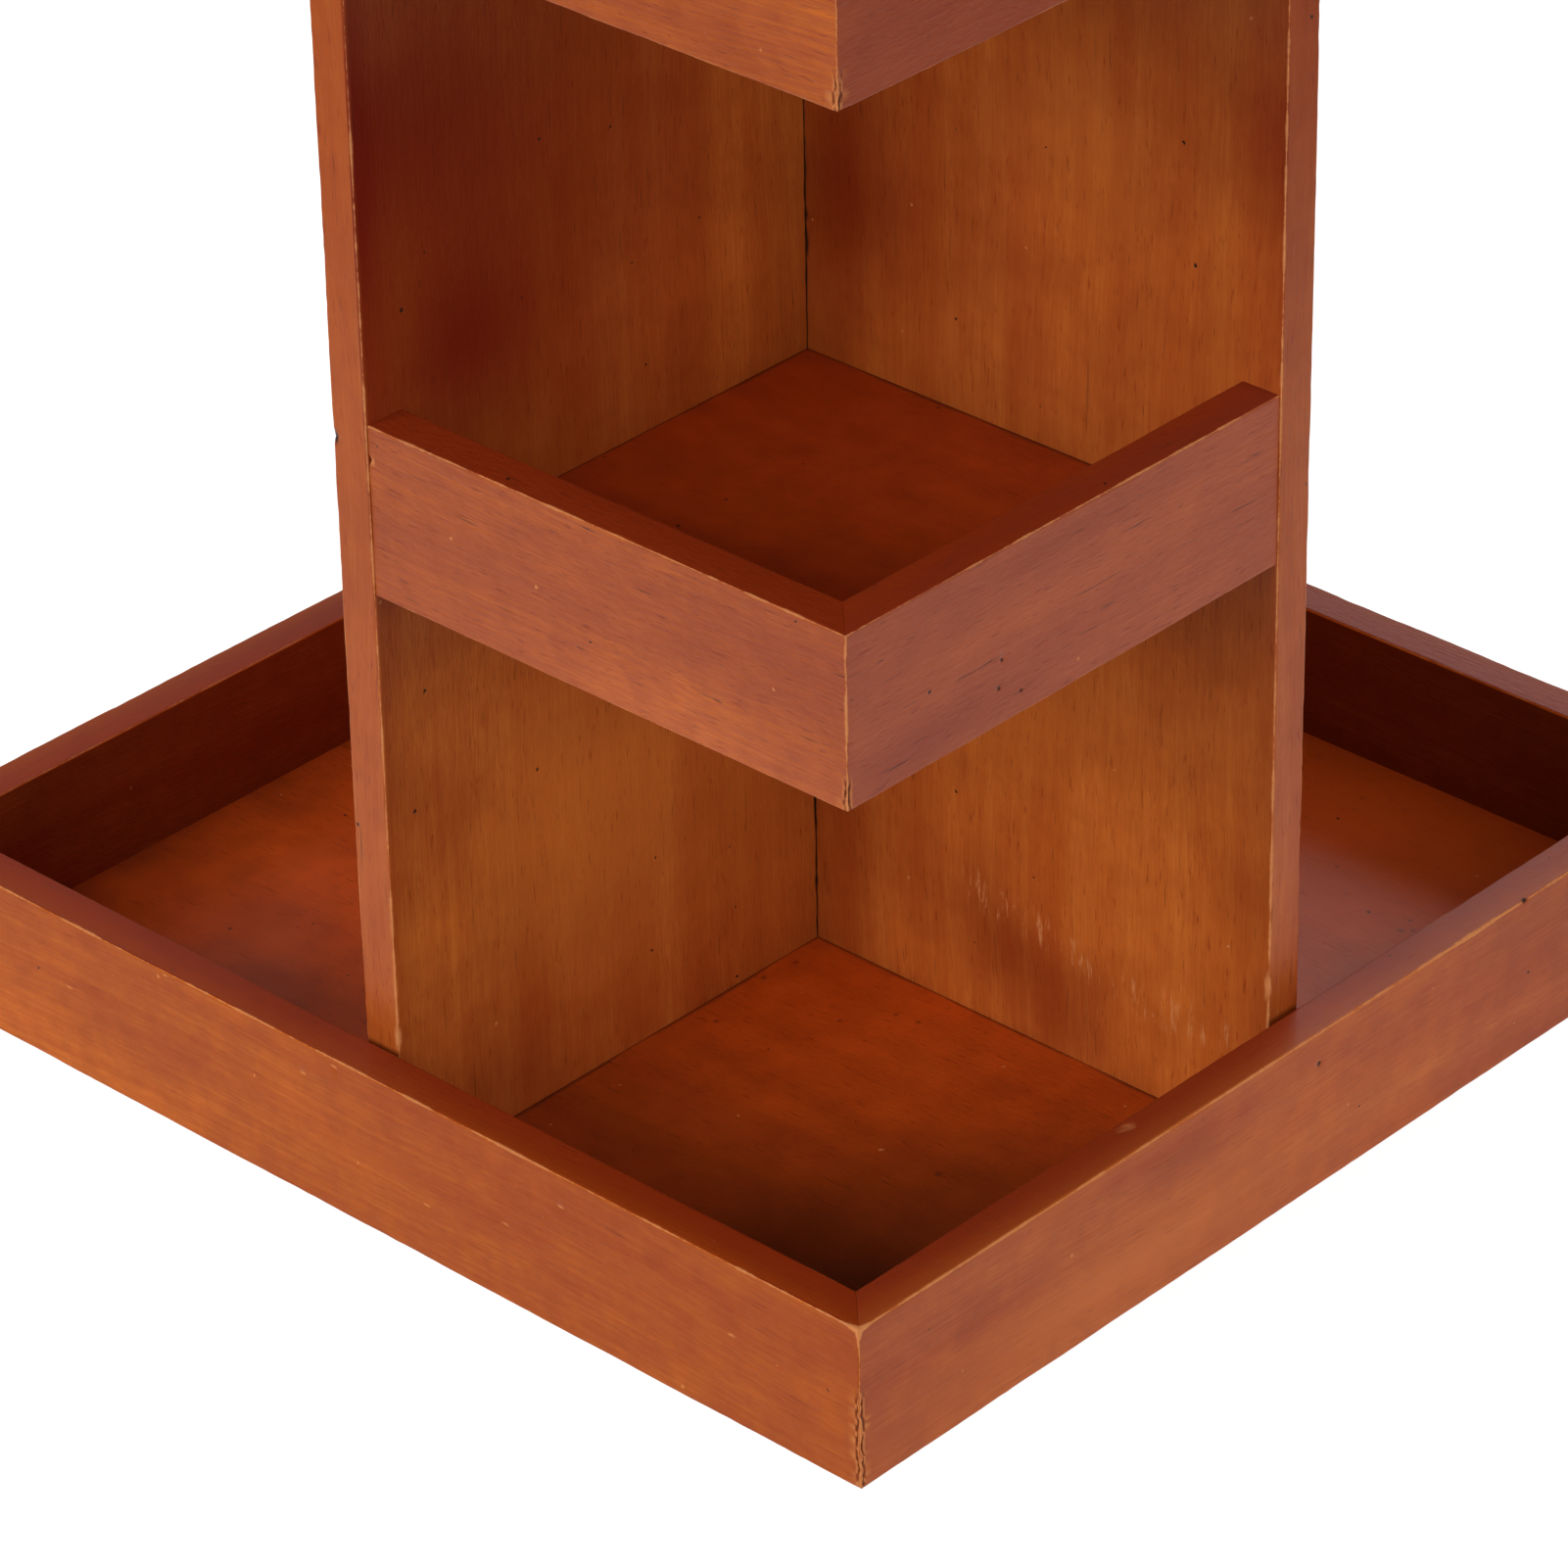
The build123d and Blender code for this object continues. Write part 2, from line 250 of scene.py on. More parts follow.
class Effect:
    """A named shader node group that several finishes share."""

    def __init__(self, name: str, inputs: dict[str, object], outputs: tuple[str, ...]) -> None:
        """Makes the group with its sockets.

        Args:
            name: Name of the group.
            inputs: Each input's name and default; a tuple makes a vector input.
            outputs: Names of the float outputs.
        """
        self.group = bpy.data.node_groups.new(name, "ShaderNodeTree")
        for label, default in inputs.items():
            kind = "NodeSocketVector" if isinstance(default, tuple) else "NodeSocketFloat"
            socket = self.group.interface.new_socket(label, in_out="INPUT", socket_type=kind)
            socket.default_value = default
        for label in outputs:
            self.group.interface.new_socket(label, in_out="OUTPUT", socket_type="NodeSocketFloat")
        self.tree = Tree(self.group)
        self.given = self.tree.add("NodeGroupInput").outputs
        self.result = self.tree.add("NodeGroupOutput").inputs

    def give(self, **values: object) -> None:
        """Links each named output of the group to a socket."""
        for label, value in values.items():
            self.tree.feed(self.result[label], value)

    def use(self, tree: Tree, **feeds: object) -> bpy.types.NodeOutputs:
        """Places the group in a tree.

        Args:
            tree: The tree of a material.
            feeds: What each named input gets.

        Returns:
            The group's outputs.
        """
        node = tree.tree.nodes.new("ShaderNodeGroup")
        node.node_tree = self.group
        for label, value in feeds.items():
            tree.feed(node.inputs[label], value)
        return node.outputs


class Effects:
    """The effects that the finishes share, each built once."""

    def __init__(self) -> None:
        """Builds every group."""
        self.grain = self._grain()
        self.blotch = self._blotch()
        self.wear = self._wear()
        self.specks = self._specks()
        self.dust = self._dust()
        self.corners = self._wall_shade()
        self.spread = self._spread()

    def _grain(self) -> Effect:
        """Wood grain along the vector's X: broad bands, thin lines, fibres, pores and fine cracks.

        Returns:
            The group.
        """
        e = Effect(
            "board_grain",
            {"Vector": (0.0, 0.0, 0.0), "Length": 0.25, "Band": 0.012, "Line": 0.0013},
            ("Band", "Line", "Fibre", "Pore", "Check"),
        )
        t, given = e.tree, e.given
        place = t.shaken(given["Vector"], 6.0, 1.0, (0.0, 0.016, 0.016))

        def stretched(along: object, across: object) -> bpy.types.NodeSocket:
            """The place in units of a streak's length and width."""
            narrow = t.over(1.0, across)
            return t.vector("MULTIPLY", place, t.combine(t.over(1.0, along), narrow, narrow))

        band = t.noise(stretched(given["Length"], given["Band"]), 1.0, 2.0, 0.5)
        line = t.noise(stretched(t.times(given["Length"], 0.5), given["Line"]), 1.0, 2.0, 0.55)
        fibre = t.noise(stretched(0.012, 0.0006), 1.0, 2.0, 0.6)
        pore = t.noise(stretched(0.005, 0.0006), 1.0, 1.0)
        check = t.noise(stretched(0.022, 0.0007), 1.0, 3.0, 0.65)
        e.give(
            Band=t.ramp(band.outputs["Fac"], 0.25, 0.75),
            Line=t.ramp(line.outputs["Fac"], 0.25, 0.75),
            Fibre=t.ramp(fibre.outputs["Fac"], 0.3, 0.7),
            Pore=t.ramp(pore.outputs["Fac"], 0.64, 0.76),
            Check=t.ramp(check.outputs["Fac"], 0.64, 0.74),
        )
        return e

    def _blotch(self) -> Effect:
        """Uneven stain and lacquer: wide cloudy patches, small mottling and an orange-peel skin.

        Returns:
            The group.
        """
        e = Effect("stain_blotch", {"Vector": (0.0, 0.0, 0.0), "Size": 0.09}, ("Cloud", "Mottle", "Peel"))
        t, given = e.tree, e.given
        scale = t.over(1.0, given["Size"])
        cloud = t.noise(t.vector("MULTIPLY", given["Vector"], (0.45, 1.0, 1.0)), scale, 2.0, 0.5)
        mottle = t.noise(given["Vector"], t.times(scale, 9.0), 3.0, 0.6)
        peel = t.noise(t.vector("MULTIPLY", given["Vector"], (0.5, 1.0, 1.0)), 750.0, 2.0, 0.6)
        e.give(
            Cloud=t.ramp(cloud.outputs["Fac"], 0.3, 0.7),
            Mottle=t.ramp(mottle.outputs["Fac"], 0.3, 0.7),
            Peel=t.ramp(peel.outputs["Fac"], 0.25, 0.75),
        )
        return e

    def _wear(self) -> Effect:
        """Finish rubbed off along edges: from the distance to an edge in millimetres.

        Returns:
            The group.
        """
        e = Effect(
            "edge_wear",
            {"Vector": (0.0, 0.0, 0.0), "Distance": 9.0, "Width": 0.5, "Patch": 0.012},
            ("Rubbed", "Raw"),
        )
        t, given = e.tree, e.given
        patch = t.noise(given["Vector"], t.over(1.0, given["Patch"]), 3.0, 0.6).outputs["Fac"]
        rag = t.noise(given["Vector"], 900.0, 2.0).outputs["Fac"]
        local = t.times(given["Width"], t.ramp(patch, 0.36, 0.64, 0.12, 1.9))
        reach = t.plus(given["Distance"], t.times(t.minus(rag, 0.5), 0.5))
        rubbed = t.minus(1.0, t.ramp(t.over(reach, local), 0.5, 1.0))
        raw = t.minus(1.0, t.ramp(t.over(reach, local), 0.15, 0.55))
        e.give(Rubbed=rubbed, Raw=raw)
        return e

    def _specks(self) -> Effect:
        """Sparse small flecks on a flat place: pale nicks in the lacquer and dark pin holes.

        Returns:
            The group.
        """
        e = Effect("flecks", {"Vector": (0.0, 0.0, 0.0), "Spacing": 0.03, "Size": 0.0004}, ("Pale", "Dark"))
        t, given = e.tree, e.given
        scale = t.over(1.0, given["Spacing"])
        place = t.shaken(given["Vector"], 1500.0, 0.0, (0.0008, 0.0008, 0.0))
        cell = t.add("ShaderNodeTexVoronoi", {"Vector": place, "Scale": scale}, voronoi_dimensions="2D")
        near = t.times(cell.outputs["Distance"], given["Spacing"])
        pick = t.add("ShaderNodeSeparateColor", {"Color": cell.outputs["Color"]}).outputs
        size = t.times(given["Size"], t.plus(0.5, pick["Green"]))
        spot = t.minus(1.0, t.ramp(near, t.times(size, 0.6), size))
        e.give(
            Pale=t.times(spot, t.maths("GREATER_THAN", pick["Red"], 0.7)),
            Dark=t.times(spot, t.maths("LESS_THAN", pick["Red"], 0.55)),
        )
        return e

    def _spread(self) -> Effect:
        """A place on a square board laid flat: the two coordinates along its face.

        Returns:
            The group.
        """
        e = Effect("flat_place", {"Vector": (0.0, 0.0, 0.0), "Facing": (0.0, 0.0, 1.0)}, ("Along", "Across"))
        t = e.tree
        place = t.add("ShaderNodeSeparateXYZ", {"Vector": e.given["Vector"]}).outputs
        facing = t.add("ShaderNodeSeparateXYZ", {"Vector": e.given["Facing"]}).outputs
        side = t.plus(t.plus(facing["X"], facing["Y"]), facing["Z"])
        square = {axis: t.maths("GREATER_THAN", t.unsigned(facing[axis]), 0.71) for axis in "XZ"}

        def swapped(axis: str) -> bpy.types.NodeSocket:
            """The place along an axis, or along Y where the face is square to that axis."""
            return t.plus(place[axis], t.times(t.minus(place["Y"], place[axis]), square[axis]))

        e.give(Along=t.plus(swapped("X"), side), Across=swapped("Z"))
        return e

    def _wall_shade(self) -> Effect:
        """Painted shade along the walls round a floor, and a painted shadow line at the dividers' feet.

        Returns:
            The group.
        """
        e = Effect(
            "painted_wall_shade",
            {"Vector": (0.0, 0.0, 0.0), "Reach": 0.14, "Width": 0.03, "Divider": 0.005},
            ("Gathered", "Foot"),
        )
        t, given = e.tree, e.given
        place = t.add("ShaderNodeSeparateXYZ", {"Vector": given["Vector"]}).outputs
        rag = t.noise(given["Vector"], 30.0, 3.0).outputs["Fac"]
        width = t.times(given["Width"], t.ramp(rag, 0.3, 0.7, 0.6, 1.4))
        sides = []
        for axis in ("X", "Y"):
            gap = t.minus(given["Reach"], t.unsigned(place[axis]))
            gap = t.over(t.larger(gap, 0.0), width)
            sides.append(t.maths("EXPONENT", t.times(gap, -1.0)))
        both = t.times(sides[0], sides[1])
        most = t.larger(sides[0], sides[1])
        # The darkening along the walls is painted shade.
        total = t.plus(t.times(most, 0.4), t.times(t.maths("POWER", both, 0.5), 0.6))
        nearest = t.smaller(*(t.unsigned(place[axis]) for axis in ("X", "Y")))
        away = t.minus(nearest, given["Divider"])
        # A thin painted shadow line where each divider stands on the floor.
        foot = t.ramp(away, 0.0, t.ramp(rag, 0.3, 0.7, 0.0004, 0.0018), 1.0, 0.0)
        e.give(Gathered=total, Foot=foot)
        return e

    def _dust(self) -> Effect:
        """A light uneven film: a mask and a height, both from 0 to 1.

        Returns:
            The group.
        """
        e = Effect("film_of_dust", {"Vector": (0.0, 0.0, 0.0), "Size": 0.01}, ("Film", "Grit"))
        t, given = e.tree, e.given
        scale = t.over(1.0, given["Size"])
        film = t.noise(given["Vector"], scale, 4.0, 0.65).outputs["Fac"]
        grit = t.noise(given["Vector"], t.times(scale, 14.0), 2.0).outputs["Fac"]
        e.give(Film=t.ramp(film, 0.35, 0.7), Grit=grit)
        return e


# ---------------------------------------------------------------- finishes


class Grain(Enum):
    """Which way a board's grain runs, as the turn that brings it onto X."""

    ALONG_X = (0.0, 0.0, 0.0)
    ALONG_Y = (0.0, 0.0, -pi / 2)
    ALONG_Z = (0.0, pi / 2, 0.0)


class Finish:
    """Starts a material with its tree, its coordinates and its Principled shader."""

    def __init__(self, name: str) -> None:
        """Makes an empty material.

        Args:
            name: The material's name.
        """
        self.material = bpy.data.materials.new(name)
        self.material.use_nodes = True
        self.material.node_tree.nodes.clear()
        self.tree = Tree(self.material.node_tree)
        known = self.tree.add("ShaderNodeTexCoord").outputs
        self.place, self.facing = known["Object"], known["Normal"]
        self.shader = self.tree.add("ShaderNodeBsdfPrincipled")
        self.surface = self.tree.add("ShaderNodeOutputMaterial").inputs["Surface"]
        self.tree.feed(self.surface, self.shader.outputs["BSDF"])

    def set(self, **feeds: object) -> None:
        """Feeds the shader's sockets, named with underscores for spaces."""
        for label, value in feeds.items():
            self.tree.feed(self.shader.inputs[label.replace("_", " ")], value)

    def bump(self, height: object, strength: float, distance: float) -> None:
        """Raises the surface by a height from 0 to 1."""
        feeds = {"Height": height, "Strength": strength, "Distance": distance}
        self.set(Normal=self.tree.add("ShaderNodeBump", feeds).outputs["Normal"])


@dataclass(frozen=True)
class Patch:
    """A round patch on a floor: pits and painted shade darken it, and painted light, with a strength below 0,
    makes it paler.
    """

    place: Point
    reach: float
    strength: float


@dataclass(frozen=True)
class StainedWood:
    """Softwood under a translucent red-brown stain and a thin lacquer."""

    name: str
    grain: Grain
    light: Colour
    deep: Colour
    red: Colour
    rim: Colour  # of faces that look up; darker on walls, rails and dividers, a deeper stain with painted shade for the weak light from above
    raw: Colour = linear(212, 138, 82)
    # the colour of pits, cracks, dark flecks and joints, and of painted shade on floors and on inner wall
    # faces
    pit_and_shade: Colour = linear(40, 25, 15)
    band: float = 0.5  # how strongly the broad bands show
    line: float = 0.35  # how strongly the thin lines show
    fibre: float = 0.3  # how strongly the finest grain shows
    pores: float = 0.25  # how dark the pores are
    checks: float = 0.3  # how dark the fine cracks are
    peel: float = 0.3  # how rough the skin of the lacquer is
    mottle: float = 0.2  # how much red stain lies in small spots
    cloud: float = 0.35  # how much red stain lies in patches
    length: float = 0.25  # of a broad band
    width: float = 0.012  # of a broad band
    thin: float = 0.0013  # width of a thin line
    size: float = 0.09  # of a patch of stain
    shift: float = 0.0  # moves the pattern, so that two finishes differ
    gloss: float = 0.08
    sheen: float = 0.16  # the lacquer's specular level
    edge: float = 0.36  # width of the finish rubbed off along edges, in millimetres
    reach: float = 0.0  # from the spin axis to the walls round a floor, where there are any
    # pits, patches of painted shade, and patches of painted light where the strength is below 0
    patches: tuple[Patch, ...] = ()

    def material(self, effects: Effects) -> bpy.types.Material:
        """Builds the material.

        Args:
            effects: The shared node groups.

        Returns:
            The finished material.
        """
        f = Finish(self.name)
        t = f.tree
        moved = {"Vector": f.place, "Location": (self.shift,) * 3}
        place = t.add("ShaderNodeMapping", moved).outputs["Vector"]
        turned = {"Vector": place, "Rotation": self.grain.value}
        turned = t.add("ShaderNodeMapping", turned).outputs["Vector"]
        worn = {
            name: t.add("ShaderNodeAttribute", attribute_name=name).outputs["Fac"] for name in BOARD_MARKS
        }
        grain = effects.grain.use(t, Vector=turned, Length=self.length, Band=self.width, Line=self.thin)
        stain = effects.blotch.use(t, Vector=turned, Size=self.size)
        flat = effects.spread.use(t, Vector=place, Facing=f.facing)
        fleck = effects.specks.use(t, Vector=t.combine(flat["Along"], flat["Across"], 0.0))
        ticks = t.noise(t.vector("MULTIPLY", turned, (110.0, 720.0, 720.0)), 1.0, 4.0, 0.75).outputs["Fac"]
        ticks = t.times(t.ramp(ticks, 0.53, 0.65), t.ramp(worn["scuff"], 0.1, 0.8))
        unmarked = t.times(t.minus(1.0, worn["marked"]), FAR_FROM_EDGES)
        distance = t.plus(worn["edge_distance"], unmarked)
        wear = effects.wear.use(t, Vector=place, Distance=distance, Width=self.edge)

        colour = self.stained(f, grain, stain)
        colour = self.with_pits_and_painted_light(f, effects, colour)
        # The tone mark: above 0 a darker, redder stain and painted shade, below 0 paler wood and painted
        # light.
        colour = t.mix(t.larger(worn["stain_and_shading"], 0.0), colour, self.red)
        colour = t.mix(t.larger(t.times(worn["stain_and_shading"], -1.0), 0.0), colour, self.light)
        colour = t.mix(t.times(grain["Pore"], self.pores), colour, self.red)
        dark = t.larger(fleck["Dark"], t.times(grain["Check"], self.checks))
        colour = t.mix(t.larger(dark, worn["crack"]), colour, self.pit_and_shade)
        pale = t.times(fleck["Pale"], 0.6)
        for bare, share in ((ticks, 0.65), (wear["Rubbed"], 0.45), (wear["Raw"], 0.8), (worn["chip"], 0.75)):
            pale = t.larger(pale, t.times(bare, share))
        colour = t.mix(t.minus(pale, worn["crack"]), colour, self.raw)

        height = t.times(grain["Fibre"], 0.35)
        hollows = [(grain["Pore"], 0.4), (grain["Check"], 0.9 * self.checks)]
        hollows += [(fleck["Dark"], 0.6), (ticks, 0.5)]
        for hollow, depth in hollows:
            height = t.minus(height, t.times(hollow, depth))
        f.bump(t.plus(height, t.times(stain["Peel"], self.peel)), 0.45, 0.0002)
        f.set(
            Base_Color=colour,
            Roughness=t.ramp(t.plus(pale, t.times(grain["Line"], 0.2)), 0.0, 1.2, 0.42, 0.8),
            Coat_Weight=t.times(t.minus(1.0, pale), self.gloss),
            Coat_Roughness=0.2,
            Specular_IOR_Level=self.sheen,
        )
        return f.material

    def stained(
        self, f: Finish, grain: bpy.types.NodeOutputs, stain: bpy.types.NodeOutputs
    ) -> bpy.types.NodeSocket:
        """The wood's colour under its stain, before any wear.

        Args:
            f: The material that is being built.
            grain: The outputs of the grain.
            stain: The outputs of the uneven stain.

        Returns:
            The colour.
        """
        t = f.tree
        tone = t.times(grain["Band"], self.band)
        colour = t.mix(tone, self.light, self.deep)
        colour = t.mix(t.times(grain["Line"], self.line), colour, self.deep)
        colour = t.mix(t.times(grain["Fibre"], self.fibre), colour, self.deep)
        colour = t.mix(t.times(stain["Cloud"], self.cloud), colour, self.red)
        # Faces that look up take the rim colour: on walls, rails and dividers a deeper stain with painted
        # shade for the weak light from above.
        up = t.add("ShaderNodeSeparateXYZ", {"Vector": f.facing}).outputs["Z"]
        colour = t.mix(t.ramp(t.unsigned(up), 0.75, 0.95), colour, t.mix(tone, self.rim, self.red))
        return t.mix(t.times(stain["Mottle"], self.mottle), colour, self.red)

    def with_pits_and_painted_light(self, f: Finish, effects: Effects, colour: bpy.types.NodeSocket) -> bpy.types.NodeSocket:
        """A floor's colour with painted shade along its walls, a painted shadow line at the dividers' feet,
        patches of painted shade and painted light, and its pits.

        Args:
            f: The material that is being built.
            effects: The shared node groups.
            colour: The clean colour.

        Returns:
            The colour, the same where the board is no floor.
        """
        t = f.tree
        if self.reach:
            # Painted shade along the walls and a painted shadow line at the dividers' feet, in the pit
            # colour.
            shade_near_walls = effects.corners.use(t, Vector=f.place, Reach=self.reach)
            colour = t.mix(t.times(shade_near_walls["Gathered"], 0.85), colour, self.pit_and_shade)
            colour = t.mix(t.times(shade_near_walls["Foot"], 0.7), colour, self.pit_and_shade)
        # Pits and patches of painted shade darken the floor; patches below 0 are painted light.
        for patch in self.patches:
            feeds = {0: f.place, 1: patch.place}
            away = t.add("ShaderNodeVectorMath", feeds, operation="DISTANCE").outputs["Value"]
            share = t.ramp(away, 0.0, patch.reach, abs(patch.strength), 0.0)
            colour = t.mix(share, colour, self.pit_and_shade if patch.strength > 0.0 else self.light)
        return colour


@dataclass(frozen=True)
class Metal:
    """Bare or plated metal with a film of dust."""

    name: str
    bright: Colour
    dull: Colour
    smooth: float = 0.25  # roughness where it is clean
    rough: float = 0.5  # roughness under the film
    size: float = 0.008  # of a patch of the film

    def material(self, effects: Effects) -> bpy.types.Material:
        """Builds the material.

        Args:
            effects: The shared node groups.

        Returns:
            The finished material.
        """
        f = Finish(self.name)
        film = effects.dust.use(f.tree, Vector=f.place, Size=self.size)
        stain = effects.blotch.use(f.tree, Vector=f.place, Size=self.size * 2)
        colour = f.tree.mix(film["Film"], self.bright, self.dull)
        f.set(
            Base_Color=f.tree.mix(f.tree.times(stain["Mottle"], 0.25), colour, self.dull),
            Roughness=f.tree.ramp(film["Film"], 0.0, 1.0, self.smooth, self.rough),
            Metallic=1.0,
        )
        f.bump(film["Grit"], 0.15, 0.00005)
        return f.material


@dataclass(frozen=True)
class Moulded:
    """Rubber or nylon with a fine mould texture and dust."""

    name: str
    colour: Colour
    dusty: Colour
    roughness: float = 0.65

    def material(self, effects: Effects) -> bpy.types.Material:
        """Builds the material.

        Args:
            effects: The shared node groups.

        Returns:
            The finished material.
        """
        f = Finish(self.name)
        film = effects.dust.use(f.tree, Vector=f.place, Size=0.006)
        f.set(
            Base_Color=f.tree.mix(f.tree.times(film["Film"], 0.6), self.colour, self.dusty),
            Roughness=f.tree.ramp(film["Film"], 0.0, 1.0, self.roughness - 0.1, self.roughness + 0.1),
        )
        f.bump(film["Grit"], 0.3, 0.0001)
        return f.material


# Painted shade on the tray floor near the front corner, the front left wall and the foot of the front left
# divider; the patch below 0 is painted light near the back right wall.
FLOOR_SHADE_AND_LIGHT = (
    Patch((0.135, -0.135, FLOOR_TOP), 0.16, 0.98),
    Patch((-0.062, -0.112, FLOOR_TOP), 0.05, 0.45),
    Patch((0.06, -0.125, FLOOR_TOP), 0.06, 0.2),
    Patch((0.014, -0.092, FLOOR_TOP), 0.07, 0.32),
    Patch((0.064, 0.122, FLOOR_TOP), 0.09, -0.75),
)
FLOOR_PITS = tuple(
    Patch((x, y, FLOOR_TOP), reach, 0.55)
    for x, y, reach in (
        (0.0088, -0.0166, 0.0013),
        (0.0077, -0.0261, 0.0013),
        (0.0121, -0.0466, 0.0011),
        (0.0408, -0.0179, 0.0010),
        (0.0467, -0.0170, 0.0012),
        (0.0330, -0.0282, 0.0010),
        (0.0034, -0.0337, 0.0012),
        (0.0907, -0.0597, 0.0014),
        (0.1040, 0.0850, 0.0014),
        (0.1030, 0.0898, 0.0010),
        (0.1062, 0.0868, 0.0011),
        (0.0754, 0.0971, 0.0010),
    )
)


class Finishes:
    """Every finish of the organiser, built once."""

    def __init__(self, effects: Effects) -> None:
        """Builds the materials.

        Args:
            effects: The shared node groups.
        """
        # rim, darker than the sides, is a deeper stain with painted shade for the weak light from above.
        red, rim = linear(116, 32, 8), linear(138, 46, 12)
        across = StainedWood(
            "stained_wall_across",
            Grain.ALONG_X,
            linear(210, 112, 26),
            linear(168, 70, 12),
            red,
            rim,
            line=0.45,
            fibre=0.42,
            cloud=0.42,
            size=0.06,
            mottle=0.26,
            gloss=0.05,
            sheen=0.1,
        )
        deepwise = StainedWood(
            "stained_wall_deep",
            Grain.ALONG_Y,
            linear(200, 108, 46),
            linear(164, 66, 12),
            linear(112, 34, 20),
            rim,
            band=0.7,
            fibre=0.42,
            mottle=0.26,
            cloud=0.5,
            length=0.2,
            size=0.07,
            shift=0.7,
            gloss=0.05,
            sheen=0.12,
        )
        rough = {"pores": 0.5, "checks": 0.75, "peel": 0.9, "fibre": 0.5, "gloss": 0.1, "edge": 0.32}
        rail_across = StainedWood(
            "stained_rail_across",
            Grain.ALONG_X,
            linear(222, 118, 38),
            linear(168, 80, 48),
            red,
            rim,
            line=0.45,
            cloud=0.45,
            size=0.06,
            shift=0.4,
            **rough,
        )
        rail_deep = StainedWood(
            "stained_rail_deep",
            Grain.ALONG_Y,
            linear(186, 96, 54),
            linear(160, 76, 46),
            linear(118, 40, 26),
            rim,
            band=0.85,
            width=0.022,
            shift=1.1,
            sheen=0.12,
            **rough,
        )
        panel = StainedWood(
            "stained_divider",
            Grain.ALONG_Z,
            linear(219, 125, 50),
            linear(183, 83, 27),
            linear(112, 23, 5),
            rim,
            band=0.7,
            line=0.4,
            fibre=0.4,
            pores=0.4,
            checks=0.45,
            peel=0.45,
            length=0.3,
            thin=0.002,
            size=0.1,
            shift=0.3,
        )
        soil = (Grain.ALONG_X, linear(190, 78, 18), linear(158, 52, 10), linear(100, 24, 6))
        plain = {"band": 0.2, "line": 0.15, "cloud": 0.5}
        tray_floor = StainedWood(
            "stained_tray_floor",
            *soil,
            linear(212, 88, 22),
            **plain,
            pores=0.4,
            checks=0.5,
            peel=0.5,
            reach=0.14,
            patches=FLOOR_SHADE_AND_LIGHT + FLOOR_PITS,
        )
        shelf = StainedWood("stained_shelf", *soil, linear(186, 70, 18), **plain, shift=0.5, reach=0.1275)
        base = StainedWood("base_wood", *soil, linear(160, 62, 18), shift=0.2)
        self.wall = {Grain.ALONG_X: across.material(effects), Grain.ALONG_Y: deepwise.material(effects)}
        self.rail = {Grain.ALONG_X: rail_across.material(effects), Grain.ALONG_Y: rail_deep.material(effects)}
        self.panel = panel.material(effects)
        self.tray_floor = tray_floor.material(effects)
        self.shelf = shelf.material(effects)
        self.base = base.material(effects)
        plate = Metal("zinc_plated_sheet", linear(198, 202, 205), linear(146, 148, 148))
        ball = Metal("polished_ball_steel", linear(226, 228, 230), linear(190, 190, 192), 0.08, 0.2, 0.002)
        screw = Metal("yellow_zinc_screw", linear(206, 178, 112), linear(140, 118, 74), 0.25, 0.45, 0.003)
        nylon = Moulded("natural_nylon", linear(214, 208, 192), linear(166, 156, 138), 0.5)
        rubber = Moulded("black_rubber", linear(28, 28, 28), linear(74, 72, 70))
        self.plate = plate.material(effects)
        self.ball = ball.material(effects)
        self.screw = screw.material(effects)
        self.nylon = nylon.material(effects)
        self.rubber = rubber.material(effects)


# ---------------------------------------------------------------- boards


class Wander:
    """A seeded smooth random curve from 0 to 1 along a length."""

    def __init__(self, rng: np.random.Generator, low: float, high: float, step: float) -> None:
        """Draws the curve's values.

        Args:
            rng: Where the random values come from.
            low: Start of the length, in millimetres.
            high: End of the length.
            step: Distance between two drawn values.
        """
        count = max(2, int((high - low) / step) + 2)
        self.places = np.linspace(low, high, count)
        self.values = rng.random(count)

    def __call__(self, place: np.ndarray) -> np.ndarray:
        """The curve's value at each place."""
        return np.interp(place, self.places, self.values)


class Ragged:
    """A curve of two Wanders, one coarse and one fine."""

    def __init__(self, rng: np.random.Generator, low: float, high: float) -> None:
        """Draws both curves over the same length.

        Args:
            rng: Where the random values come from.
            low: Start of the length, in millimetres.
            high: End of the length.
        """
        self.coarse = Wander(rng, low, high, 13.0)
        self.fine = Wander(rng, low, high, 2.2)

    def __call__(self, place: np.ndarray) -> np.ndarray:
        """The curve's value at each place."""
        return 0.62 * self.coarse(place) + 0.38 * self.fine(place)


def ruler(
    low: float,
    high: float,
    step: float,
    worn: tuple[bool, bool],
    nicks: Sequence[tuple[float, float]] = (),
) -> np.ndarray:
    """Places along one side of a lattice, closer together near a worn end or a nick.

    Args:
        low: First place, in millimetres.
        high: Last place.
        step: Widest distance between two places.
        worn: Whether the low end and the high end are worn.
        nicks: Place and reach of each nick.

    Returns:
        The places in rising order.
    """
    start, end = low + END_ROWS[-1] * worn[0], high - END_ROWS[-1] * worn[1]
    between = np.linspace(start, end, max(2, int(round((end - start) / step)) + 1))
    parts = [np.array([low, high]), between]
    parts += [low + END_ROWS] if worn[0] else []
    parts += [high - END_ROWS] if worn[1] else []
    parts += [place + reach * NICK_ROWS for place, reach in nicks]
    places = np.clip(np.concatenate(parts), low, high)
    return np.unique(np.round(places, 3))


